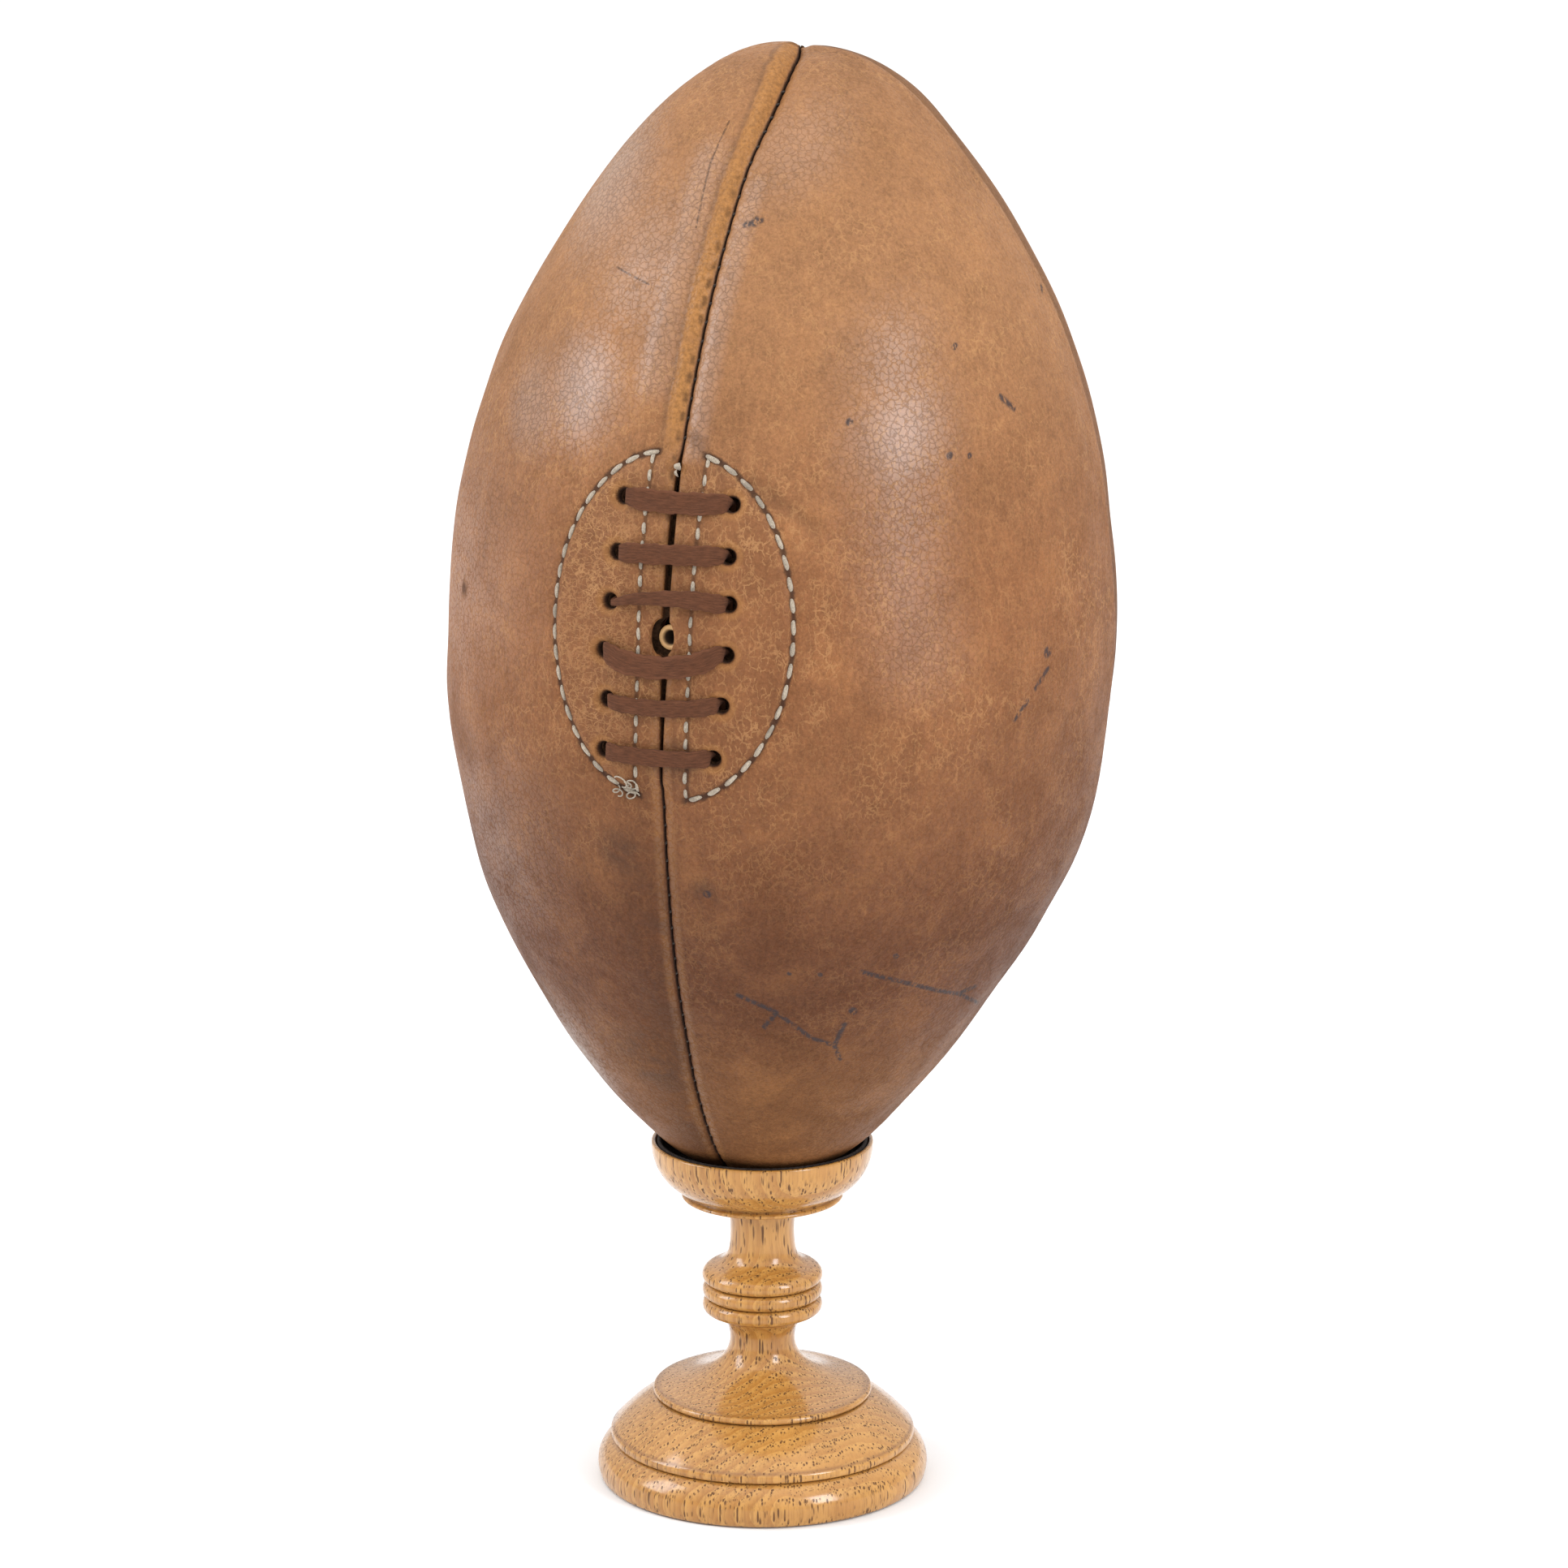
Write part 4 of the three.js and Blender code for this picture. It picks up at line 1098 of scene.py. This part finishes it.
def seam_thread_shapes(seam, low, high):
    """A waxed core down the valley, and a loop over it at every nick."""
    low_run, high_run = np.interp(np.array([low, high]) / HALF_LENGTH, MERIDIAN_U, MERIDIAN_RUN)
    run = np.arange(low_run, high_run, 1.7)
    u = np.interp(run, MERIDIAN_RUN, MERIDIAN_U)
    azimuth = seam_azimuth(seam, u)
    room = np.clip(outline(u)[0] / 14, 0.25, 1)
    centres = skin(azimuth, u, relief(azimuth, u) - 2.9 * room)
    tangent = unit(np.gradient(centres, axis=0))
    out = unit(skin(azimuth, u, 1.0) - skin(azimuth, u, 0.0))
    side = unit(np.cross(out, tangent))
    core = circle(0.55 * room, 8, 1, twist=len(run), ridge=0.1)
    shapes = [sweep(centres, side, np.cross(tangent, side), core)]
    for knot in np.arange(math.ceil(low_run / NICK_PITCH), math.floor(high_run / NICK_PITCH)) * NICK_PITCH:
        ends = []
        for hand, slip in ((-1, -0.9), (1, 0.9)):
            level = np.interp(knot + slip, MERIDIAN_RUN, MERIDIAN_U)
            size = min(1.0, outline(level)[0] / 14)
            turn = seam_azimuth(seam, level) + hand * 1.15 * size / outline(level)[0]
            ends.append(skin(turn, level, relief(turn, level) - 0.75 * size))
        outward = unit(skin(turn, level, 1.0) - skin(turn, level, 0.0))
        shapes.append(stitch(ends[0], ends[1], outward, 0.34 * size, 0.9 * size, -0.35 * size))
    return shapes


class BALLMAKER_OT_seams(bpy.types.Operator):
    """Lays the waxed thread in the seams"""

    bl_idname = "ballmaker.seams"
    bl_label = "Seam thread"

    def execute(self, context):
        tone = tuple(context.scene.ball_colours.waxed)
        finish = thread_finish("waxed thread", tone, times(tone, 0.4), 0.6)
        for name, (seam, low, high) in SEAM_RUNS.items():
            points, faces = joined(seam_thread_shapes(seam, low, high))
            mesh = mesh_of(name, to_frame(points), faces)
            piece("waxed_" + name, mesh, finish, "ball", [name], crease=80)
        return {"FINISHED"}


# ---------------------------------------------------------------- the laced opening
def facing_mesh(side, cutters):
    """The leather behind one side's holes."""
    rise = np.linspace(-FACING_HALF_HEIGHT, FACING_HALF_HEIGHT, 48)[:, None]
    far = FACING_OVAL[0] * np.sqrt(1 - (rise / FACING_OVAL[1]) ** 2)
    near = FACING_START
    share = np.linspace(0, 1, 22)[None]
    round_ = near + (far - near) * share if side > 0 else -far + (far - near) * share
    height = rise + LACING_HEIGHT + 0 * round_
    depth = bpy.context.scene.ball_sizes.leather / MM + FACING_GAP
    faces = [on_leather(round_, height, -depth), on_leather(round_, height, -depth - FACING)]
    points, quads = slab(np.stack(faces, 2))
    return cut_away(mesh_of("facing", to_frame(points), quads), cutters)


class BALLMAKER_OT_facings(bpy.types.Operator):
    """Fits the facings behind the lace holes, and finishes the tongue"""

    bl_idname = "ballmaker.facings"
    bl_label = "Facings and tongue"

    def execute(self, context):
        finish = lining_finish()
        left, right, valve = lace_punches()
        for name, side, cutters in (("lace_facing_left", -1, left), ("lace_facing_right", 1, right)):
            mesh = facing_mesh(side, cutters)
            piece("backing_" + name, mesh, finish, "ball", [name])
        dress("lace_tongue", finish)
        return {"FINISHED"}


def dress(node, finish):
    """Puts a finish on a CAD node that stays as it is."""
    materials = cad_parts[node].data.materials
    materials.clear()
    materials.append(finish)


def stitched(path, pitch, length_, radius):
    """Stitches along a path of (round, height) points, each a little unlike the next."""
    path = np.asarray(path, float)
    places = on_leather(path[:, 0], path[:, 1], 0.0)
    outs = unit(beside_slit(path[:, 0], path[:, 1], 1.0) - beside_slit(path[:, 0], path[:, 1], 0.0))
    run = np.concatenate([[0], np.cumsum(np.linalg.norm(np.diff(places, axis=0), axis=1))])
    count = int(run[-1] / pitch)
    pitch = run[-1] / count

    def at(distance, values):
        return np.array([np.interp(distance, run, values[:, axis]) for axis in range(3)])

    draw = np.random.default_rng(len(path))
    shapes = []
    for index in range(count):
        middle = (index + 0.5) * pitch
        half = length_ / 2 * draw.uniform(0.92, 1.06)
        out = at(middle, outs)
        start, end = at(middle - half, places), at(middle + half, places)
        aside = unit(np.cross(out, end - start)) * draw.uniform(-0.18, 0.18)
        plump = radius * draw.uniform(0.92, 1.08)
        shapes.append(stitch(start - aside, end + aside, out, plump, 0.6, 0.35 * radius))
    return shapes


def loose_ends(draw):
    """The frayed loops where the lower left stitching has come undone."""
    shapes = []
    for _ in range(5):
        start = np.array([-8.5 + draw.uniform(-3, 1.5), -29.3 + draw.uniform(-0.8, 2.6)])
        share = np.linspace(0, 1, 26)
        spin = draw.uniform(1.5, 3.0) * TURN / 2
        phase = draw.uniform(0, TURN)
        size = draw.uniform(0.8, 1.7)
        x = start[0] + size * np.cos(phase + spin * share) - 3 * share * draw.uniform(0, 1)
        y = start[1] + size * 0.7 * np.sin(phase + spin * share) + 1.6 * share * draw.uniform(0, 1)
        centres = on_leather(x, y, 0.45 + 0.7 * np.sin(math.pi * share))
        tangent = unit(np.gradient(centres, axis=0))
        out = unit(beside_slit(x, y, 1.0) - beside_slit(x, y, 0.0))
        side = unit(np.cross(out, tangent))
        shapes.append(sweep(centres, side, np.cross(tangent, side), circle(np.full(26, 0.2), 6)))
    return shapes


OVAL_STITCH = (5.3, 5.1)      # pitch and length
COLUMN_STITCH = (4.5, 3.9)
COLUMN_LEAN = {-1: [0.9, -0.9], 1: [-1.6, 0.8]}    # how far each column leans, at its foot and its top
TACK_KNOTS = [(0.2, 55.6, 0.95), (0.0, 53.9, 0.4)]    # mm round, mm up and radius


def linen(node, shapes, finish):
    """Puts in the pale stitches that stand for a CAD node."""
    points, faces = joined(shapes)
    mesh = mesh_of(node, to_frame(points), faces)
    piece("linen_" + node, mesh, finish, "ball", [node], crease=80)


class BALLMAKER_OT_stitches(bpy.types.Operator):
    """Sews the pale stitching round and beside the lacing, and the bar tack above the slit"""

    bl_idname = "ballmaker.stitches"
    bl_label = "Facing stitches and bar tack"

    def execute(self, context):
        radius = context.scene.ball_sizes.stitch_radius / MM
        tone = tuple(context.scene.ball_colours.thread)
        finish = thread_finish("linen thread", tone, times(tone, 0.35), 0.8)
        for hand, side in (("left", -1), ("right", 1)):
            angle = np.linspace(math.asin(6 / STITCH_OVAL[0]), math.pi - math.asin(6.5 / STITCH_OVAL[0]), 220)
            oval = np.stack([
                side * STITCH_OVAL[0] * np.sin(angle),
                LACING_HEIGHT + STITCH_OVAL[1] * np.cos(angle),
            ], -1)
            shapes = stitched(oval, *OVAL_STITCH, radius)
            if side < 0:
                shapes += loose_ends(np.random.default_rng(5))
            linen("facing_stitch_oval_" + hand, shapes, finish)
            height = np.linspace(LACING_HEIGHT + STITCH_COLUMN_HALF, LACING_HEIGHT - STITCH_COLUMN_HALF, 90)
            lean = np.interp(height, [-27, 56], COLUMN_LEAN[side])
            column = np.stack([side * STITCH_COLUMN + lean * 0.4, height], -1)
            linen("facing_stitch_column_" + hand, stitched(column, *COLUMN_STITCH, 0.8 * radius), finish)
        shapes = []
        for round_, height, size in TACK_KNOTS:
            start = on_leather(round_ - 0.3, height + 0.9, 0.5)
            end = on_leather(round_ + 0.3, height - 0.9, 0.5)
            out = axes_at(round_, height, 0.0)[3]
            shapes.append(stitch(start, end, out, size, 0.9, 0.9))
        linen("bar_tack", shapes, finish)
        return {"FINISHED"}


# Each bar's own set: sag at the middle, extra lift there, how far it twists, its width beside the others',
# and how much narrower it starts.
BARS = [
    (-0.5, 0.0, 4, 1.08, 0.0), (0.1, 0.0, -5, 0.98, 0.0), (1.6, 1.2, 30, 0.95, 0.66),
    (-3.3, 0.5, 26, 1.12, 0.0), (-0.9, 0.2, -16, 0.86, 0.15), (-0.4, 0.0, 10, 0.82, 0.0),
]
LACE_IN = 1.1      # how far towards the slit the lace lies in its holes
LACE_NECK = 3.0    # its width in a hole
LACE_DEPTH = -5.4  # where its inner runs lie
LACE_TAIL = 12
LACE_CLEAR = 2.5   # from a hole's middle to the inner run's bend
HOLE_STEPS = [(-4.2, 70), (-2.2, 30)]                 # lift and turn on the way through a hole
SHOULDER_STEPS = [(0.25, -0.2, 3.9), (1.2, 0.8, 4.7)]   # mm in from a hole, lift and width as it bends over
BAR_SHARES = (0.16, 0.3, 0.5, 0.7, 0.84)
BAR_LIFT = 1.3
LACE_SIDES = 18


def lace_stations():
    """Rows of (round, height, lift, width, turn) down the whole lace."""
    width = bpy.context.scene.ball_sizes.lace_width / MM
    rows = []

    def inner(round_, height):
        rows.append((round_, height, LACE_DEPTH, LACE_NECK, 90))

    inner(LEFT_HOLES[0][0], LEFT_HOLES[0][1] + LACE_TAIL)
    inner(LEFT_HOLES[0][0], LEFT_HOLES[0][1] + LACE_CLEAR)
    for row, (sag, extra, twist, wide, pinch) in enumerate(BARS):
        sides = (RIGHT_HOLES, LEFT_HOLES) if row % 2 else (LEFT_HOLES, RIGHT_HOLES)
        way = -1 if row % 2 else 1
        start, start_height = sides[0][row][0] + way * LACE_IN, sides[0][row][1]
        end, end_height = sides[1][row][0] - way * LACE_IN, sides[1][row][1]
        rows += [(start, start_height, lift, LACE_NECK, turn) for lift, turn in HOLE_STEPS]
        rows += [(start + way * x, start_height, lift, w * (1 - pinch), 0) for x, lift, w in SHOULDER_STEPS]
        for share in BAR_SHARES:
            hang = 4 * share * (1 - share)
            rows.append((
                start + (end - start) * share,
                start_height + (end_height - start_height) * share + sag * hang,
                BAR_LIFT + extra * hang,
                width * wide * (1 - pinch * (1 - share) ** 1.5),
                math.sin(share * TURN) * twist * 0.5,
            ))
        rows += [(end - way * x, end_height, lift, w, 0) for x, lift, w in SHOULDER_STEPS[::-1]]
        rows += [(end, end_height, lift, LACE_NECK, turn) for lift, turn in HOLE_STEPS[::-1]]
        inner(end, end_height - LACE_CLEAR)
        if row + 1 < len(BARS):
            after = sides[1][row + 1]
            inner(after[0] - way * LACE_IN, after[1] + LACE_CLEAR)
        else:
            inner(end, end_height - LACE_TAIL)
    return np.array(rows, float)


def smooth_rows(stations, fine):
    """A smooth run of rows through the stations, fine rows to a step. The last two values go straight."""
    count = len(stations)
    dense = np.linspace(0, count - 1, (count - 1) * fine + 1)
    before = np.clip(np.floor(dense).astype(int), 0, count - 2)
    share = (dense - before)[:, None]
    p0, p1 = stations[np.maximum(before - 1, 0)], stations[before]
    p2, p3 = stations[before + 1], stations[np.minimum(before + 2, count - 1)]
    bend, turn_back = 2 * p0 - 5 * p1 + 4 * p2 - p3, 3 * p1 - p0 - 3 * p2 + p3
    rows = 0.5 * (2 * p1 + (p2 - p0) * share + bend * share**2 + turn_back * share**3)
    for column in (3, 4):
        rows[:, column] = np.interp(dense, np.arange(count), stations[:, column])
    return rows


def lace_shape():
    """The lace as one swept strip, with its own coordinates for the finish."""
    round_, height, lift, width, turn = smooth_rows(lace_stations(), 9).T
    centres = beside_slit(round_, height, lift)
    out = unit(beside_slit(round_, height, lift + 1) - centres)
    up = beside_slit(round_, height + 1, lift) - centres
    side = unit(np.cross(up, out))
    up = np.cross(out, side)
    turn = np.radians(turn)[:, None]
    tangent = unit(np.gradient(centres, axis=0))
    shown = (lift > 0.5)[:, None]
    across = up * np.cos(turn) + np.where(shown, out, side) * np.sin(turn)
    across = unit(across - tangent * (across * tangent).sum(-1, keepdims=True))
    for _ in range(3):
        across[1:-1] = unit(across[:-2] + across[1:-1] * 2 + across[2:])
    across = unit(across - tangent * (across * tangent).sum(-1, keepdims=True))
    face = np.cross(tangent, across)
    angle = np.arange(LACE_SIDES) / LACE_SIDES * TURN
    thick = bpy.context.scene.ball_sizes.lace_thickness / MM
    run = np.concatenate([[0], np.cumsum(np.linalg.norm(np.diff(centres, axis=0), axis=1))])
    rough = 1 + 0.05 * np.sin(run * 0.9) + 0.04 * np.sin(run * 2.3 + 1)
    wide = np.sign(np.cos(angle)) * np.abs(np.cos(angle)) ** 0.35
    deep = np.sign(np.sin(angle)) * np.abs(np.sin(angle)) ** 0.45
    ends = np.minimum(run, run[-1] - run)
    taper = np.clip(ends / 1.5, 0.3, 1)
    section = np.stack([
        np.outer(width / 2 * rough * taper, wide),
        np.outer(thick / 2 * taper, deep) + 0.12 * np.outer(np.sin(run * 0.45), wide),
    ], -1)
    points, faces = sweep(centres, across, face, section)
    even = np.ones(LACE_SIDES)
    own = np.stack([np.outer(width / 2, wide), np.outer(run, even), np.outer(0 * run + 1, np.sign(deep))], -1)
    return points, faces, own.reshape(-1, 3)


class BALLMAKER_OT_lace(bpy.types.Operator):
    """Threads the suede lace through its holes"""

    bl_idname = "ballmaker.lace"
    bl_label = "Lace"

    def execute(self, context):
        points, faces, own = lace_shape()
        mesh = mesh_of("lace", to_frame(points), faces, {"ply": own})
        piece("suede_lace", mesh, suede_finish(), "ball", ["lace"], crease=70)
        return {"FINISHED"}


class BALLMAKER_OT_bladder(bpy.types.Operator):
    """Finishes the bladder and makes its filling tube"""

    bl_idname = "ballmaker.bladder"
    bl_label = "Bladder and valve"

    def execute(self, context):
        tones = context.scene.ball_colours
        dress("bladder", rubber_finish("bladder rubber", tuple(tones.bladder), 14))
        profile = [
            (1.5, -8.6), (3.0, -8.6), (3.05, -1.2), (3.3, -0.5), (3.15, -0.1), (2.8, 0.1), (2.3, 0.05),
            (1.95, -0.25), (1.7, -0.9),
        ]
        place, across, up, out = axes_at(*VALVE, -2.3)
        tilt = math.radians(9)
        axis = out * math.cos(tilt) - across * math.sin(tilt)
        across = unit(across - axis * (across @ axis))
        up = np.cross(axis, across)
        angle = np.arange(40) / 40 * TURN
        rings = [
            place + radius * (np.outer(np.cos(angle), across) + np.outer(np.sin(angle), up)) + level * axis
            for radius, level in profile
        ]
        rings.append(rings[0])
        points, faces = hoop(np.stack(rings))
        # Marks the bore's walls for painted shade.
        axial = np.repeat([[1.0, 0, 0]] + [[0.0, 0, 0]] * 6 + [[0.5, 0, 0], [1.0, 0, 0]], 40, axis=0)
        mesh = mesh_of("valve", to_frame(points), faces, {"bore": axial})
        finish = rubber_finish("valve rubber", tuple(tones.valve), 2.5, tuple(tones.grime_and_shade))
        piece("filling_valve", mesh, finish, "ball", ["bladder_valve"])
        return {"FINISHED"}


def hoop(rings):
    """A closed ring-shaped surface from rings whose last repeats the first."""
    count, sides = rings.shape[0] - 1, rings.shape[1]
    index = np.arange(count * sides).reshape(count, sides)
    index = np.concatenate([index, index[:1]])
    after = np.roll(index, -1, axis=1)
    return rings[:-1].reshape(-1, 3), corners(index[:-1], after[:-1], after[1:], index[1:]).tolist()


# ---------------------------------------------------------------- the turned stand
class Profile:
    """Half a turned section, drawn as (radius, height) points in mm."""

    def __init__(self, radius, height):
        self.points = [(radius, height)]

    def line(self, radius, height):
        self.points.append((radius, height))
        return self

    def curve(self, *controls, steps=14):
        """A smooth curve past one or two control points to the last point."""
        run = [np.array(self.points[-1], float)] + [
            np.array(controls[i:i + 2], float) for i in range(0, len(controls), 2)
        ]
        for share in np.linspace(0, 1, steps + 1)[1:]:
            level = run
            while len(level) > 1:
                level = [a + (b - a) * share for a, b in zip(level, level[1:])]
            self.points.append(tuple(level[0]))
        return self


def turned(profile, grooves=(), segments=144, wobble=None):
    """A closed turned solid in metres, with how near each point is to a groove."""
    profile = np.array(profile, float)
    keep = profile[:, 0] > 1e-6
    rims, poles = profile[keep], profile[~keep]
    angle = np.arange(segments) / segments * TURN
    radii = rims[:, :1] + (wobble(rims, angle) if wobble else 0 * angle[None])
    rings = np.stack([radii * np.cos(angle), radii * np.sin(angle), rims[:, 1:] + 0 * radii], -1)
    count = len(rims)
    index = np.arange(count * segments).reshape(count, segments)
    after = np.roll(index, -1, axis=1)
    faces = corners(index[:-1], index[1:], after[1:], after[:-1]).tolist()
    low, high = count * segments, count * segments + 1
    faces += [[low, index[0][i], after[0][i]] for i in range(segments)]
    faces += [[high, after[-1][i], index[-1][i]] for i in range(segments)]
    centre = [(0, 0, poles[0][1]), (0, 0, poles[-1][1])]
    points = np.concatenate([rings.reshape(-1, 3), centre])
    radius = np.hypot(points[:, 0], points[:, 1])
    stain = np.zeros(len(points))
    for at_radius, at_height, spread in grooves:
        stain = np.maximum(stain, hump(np.hypot(radius - at_radius, points[:, 2] - at_height), 0, spread))
    return points * MM, faces, np.stack([stain, 0 * stain, 0 * stain], -1)


def stand_profiles():
    """The three turned pieces, from the underside round to the top, with their grooves."""
    base = Profile(0, 0).line(43.8, 0).curve(44.8, 0, 44.95, 0.9, steps=4)
    base.curve(46.2, 4.2, 45.6, 7.8, 41.4, 11)
    base.line(40.9, 11.1).line(41.7, 11.6).curve(42.1, 12.55, 41.7, 13.5, steps=6).line(41.2, 14)
    base.curve(36, 19.8, 29.6, 23.6, steps=18).line(8.3, 23.6).line(8.3, 9.7).line(0, 9.7)

    column = Profile(0, 10).line(8, 10).line(8, 23.9).line(29.7, 23.9).curve(30.3, 24.3, 30.1, 25, steps=4)
    column.curve(29.9, 25.6, 29.2, 25.8, steps=3).curve(16.5, 27.9, 8.9, 32.5, 8.9, 39.4, steps=22)
    column.curve(9, 45, 13, 46.3, steps=12).line(14.4, 46.6).line(14.6, 46.9)
    column.curve(17.1, 47, 17.1, 51, 14.6, 51.15, steps=12)
    column.curve(17.1, 51.3, 17.1, 55.3, 14.6, 55.5, steps=12)
    column.curve(17.4, 55.8, 17.4, 59.6, 13.4, 60.6, steps=14).curve(9.9, 61.6, 9.2, 65, steps=10)
    column.curve(8.4, 69.5, 8.6, 75.5, 10.2, 78.4, steps=14)
    column.line(11.4, 79.2).line(6, 79.2).line(6, 82.2).line(0, 82.2)

    cup = Profile(0, 82.5).line(6.3, 82.5).line(6.3, 79.5).line(20.2, 79.5)
    cup.curve(23.4, 80.1, 21.3, 81.3, steps=10)
    cup.line(21.2, 81.5).line(21.6, 81.9).curve(26.2, 84.2, 30.3, 88.4, 30.35, 95.6, steps=22)
    cup.curve(30.3, 96.3, 29.7, 96.3, steps=4).curve(29.3, 96.3, 29.2, 96, steps=3)
    cup.curve(28.6, 89, 22, 85, 8, 84.4, steps=18).line(0, 84.4)

    base_grooves = [(40.95, 11.1, 0.55), (41.2, 13.95, 0.35), (29.7, 23.6, 0.45)]
    column_grooves = [
        (14.5, 46.75, 0.5), (14.6, 51.2, 0.7), (14.6, 55.55, 0.7), (29.8, 23.9, 0.45), (29.3, 25.8, 0.3),
    ]
    cup_grooves = [(21.25, 81.5, 0.55), (20.4, 79.5, 0.4)]
    return {
        "stand_base": (base.points, base_grooves),
        "stand_column": (column.points, column_grooves),
        "stand_cup": (cup.points, cup_grooves),
    }


class BALLMAKER_OT_stand(bpy.types.Operator):
    """Turns the stand's base, column and cup in oak"""

    bl_idname = "ballmaker.stand"
    bl_label = "Oak stand"

    def execute(self, context):
        finish = oak_finish()
        for name, (profile, grooves) in stand_profiles().items():
            points, faces, stain = turned(profile, grooves)
            mesh = mesh_of(name, points, faces, {"turned": stain})
            piece("oak_" + name, mesh, finish, "stand", [name], crease=34)
        return {"FINISHED"}


class BALLMAKER_OT_lining(bpy.types.Operator):
    """Lines the cup with dark felt"""

    bl_idname = "ballmaker.lining"
    bl_label = "Cup lining"

    def execute(self, context):
        felt = Profile(0, 84.7).line(8, 84.7).curve(21.8, 85.4, 28.3, 89.2, 28.8, 96, steps=24)
        felt.curve(28.4, 96.8, 27.7, 96.1, steps=5).curve(27, 90, 20.8, 86.5, 8, 85.6, steps=24).line(0, 85.6)

        def ribs(rims, angle):
            upper = smooth(90, 94, rims[:, 1:]) * (rims[:, :1] < 28.3)
            return 0.16 * upper * np.cos(angle * 110)[None]

        points, faces, _ = turned(felt.points, segments=440, wobble=ribs)
        mesh = mesh_of("lining", points, faces)
        piece("felt_lining", mesh, felt_finish(), "stand", ["cup_lining"])
        return {"FINISHED"}


# ---------------------------------------------------------------- the stage
def softbox(name, watts, size, place, target, tone=(1, 1, 1)):
    """A rectangular lamp that faces its target."""
    lamp = bpy.data.lights.new(name, "AREA")
    lamp.energy = watts
    lamp.shape = "RECTANGLE"
    lamp.size, lamp.size_y = size
    lamp.color = tone
    thing = bpy.data.objects.new(name, lamp)
    thing.location = place
    thing.rotation_euler = (Vector(target) - Vector(place)).to_track_quat("-Z", "Y").to_euler()
    bpy.context.scene.collection.objects.link(thing)


FLOOR_HALF = 4
FLOOR_GAP = 0.0003      # keeps the floor off the base's underside
CAMERA_PLACE = (0.005935, -1.5645, 0.5823)
CAMERA_DROP = math.radians(13.87)


class BALLMAKER_OT_stage(bpy.types.Operator):
    """Sets out the floor, the lamps and the camera"""

    bl_idname = "ballmaker.stage"
    bl_label = "Stage"

    def execute(self, context):
        scene, studio = context.scene, context.scene.studio
        edges = [(x * FLOOR_HALF, y * FLOOR_HALF, 0) for x, y in ((-1, -1), (1, -1), (1, 1), (-1, 1))]
        mesh = mesh_of("floor", edges, [[0, 1, 2, 3]])
        f = Finish("pale floor", roughness=0.7, specular_ior_level=0.2)
        tint = f.noise(f.millimetres(), 300, 2)
        tone = tuple(studio.floor)
        f.drive("Base Color", f.mix(tint, tone, times(tone, 0.985)))
        mesh.materials.append(f.material)
        floor = bpy.data.objects.new("floor", mesh)
        floor.location.z = -FLOOR_GAP
        scene.collection.objects.link(floor)

        world = bpy.data.worlds.new("surround")
        scene.world = world
        world.use_nodes = True
        w = Nodes(world.node_tree)
        upward = w.parts(w.node("TexCoord", output="Generated"))[2]
        sockets = {"Value": upward, "From Min": 0.0, "To Min": studio.horizon, "To Max": studio.sky}
        glow = w.node("MapRange", inputs=sockets)
        plug(w.tree, w.tree.nodes["Background"].inputs["Strength"], glow)
        w.tree.nodes["Background"].inputs["Color"].default_value = (1, 1, 1, 1)
        scene.view_settings.view_transform = "Standard"

        middle = (0, 0, 0.24)
        softbox("left lamp", studio.left, (0.6, 1.1), (-1.53, -0.2, 1.0), middle, (0.86, 0.93, 1.0))
        softbox("right lamp", studio.right, (0.5, 0.9), (1.2, -1.2, 0.93), middle, (0.86, 0.93, 1.0))
        softbox("top lamp", studio.top, (2, 2), (0, -0.3, 2.1), middle)

        camera = bpy.data.cameras.new("camera")
        camera.lens = studio.lens
        camera.sensor_width = 36
        camera.clip_start = 0.01
        thing = bpy.data.objects.new("camera", camera)
        thing.location = CAMERA_PLACE
        thing.rotation_euler = (math.pi / 2 - CAMERA_DROP, 0, 0)
        scene.collection.objects.link(thing)
        scene.camera = thing
        return {"FINISHED"}


# ---------------------------------------------------------------- add-on
STEPS = [
    BALLMAKER_OT_stage,
    BALLMAKER_OT_stand,
    BALLMAKER_OT_lining,
    BALLMAKER_OT_panels,
    BALLMAKER_OT_seams,
    BALLMAKER_OT_facings,
    BALLMAKER_OT_bladder,
    BALLMAKER_OT_stitches,
    BALLMAKER_OT_lace,
]
GROUPS = {
    "ball_sizes": BallSizes,
    "ball_colours": BallColours,
    "stand_colours": StandColours,
    "studio": Studio,
}


class BALLMAKER_PT_steps(bpy.types.Panel):
    """The steps that make the ball and its stand"""

    bl_label = "Leather Ball"
    bl_idname = "BALLMAKER_PT_steps"
    bl_space_type = "VIEW_3D"
    bl_region_type = "UI"
    bl_category = "Leather Ball"

    def draw(self, context):
        for step in STEPS:
            self.layout.operator(step.bl_idname)


def register():
    for group in GROUPS.values():
        bpy.utils.register_class(group)
    for step in STEPS:
        bpy.utils.register_class(step)
    bpy.utils.register_class(BALLMAKER_PT_steps)
    for name, group in GROUPS.items():
        setattr(bpy.types.Scene, name, PointerProperty(type=group))


def unregister():
    for name in GROUPS:
        delattr(bpy.types.Scene, name)
    bpy.utils.unregister_class(BALLMAKER_PT_steps)
    for kind in [*STEPS, *GROUPS.values()]:
        bpy.utils.unregister_class(kind)


def main():
    register()
    for step in STEPS:
        area, name = step.bl_idname.split(".")
        getattr(getattr(bpy.ops, area), name)()


if __name__ == "__main__":
    main()
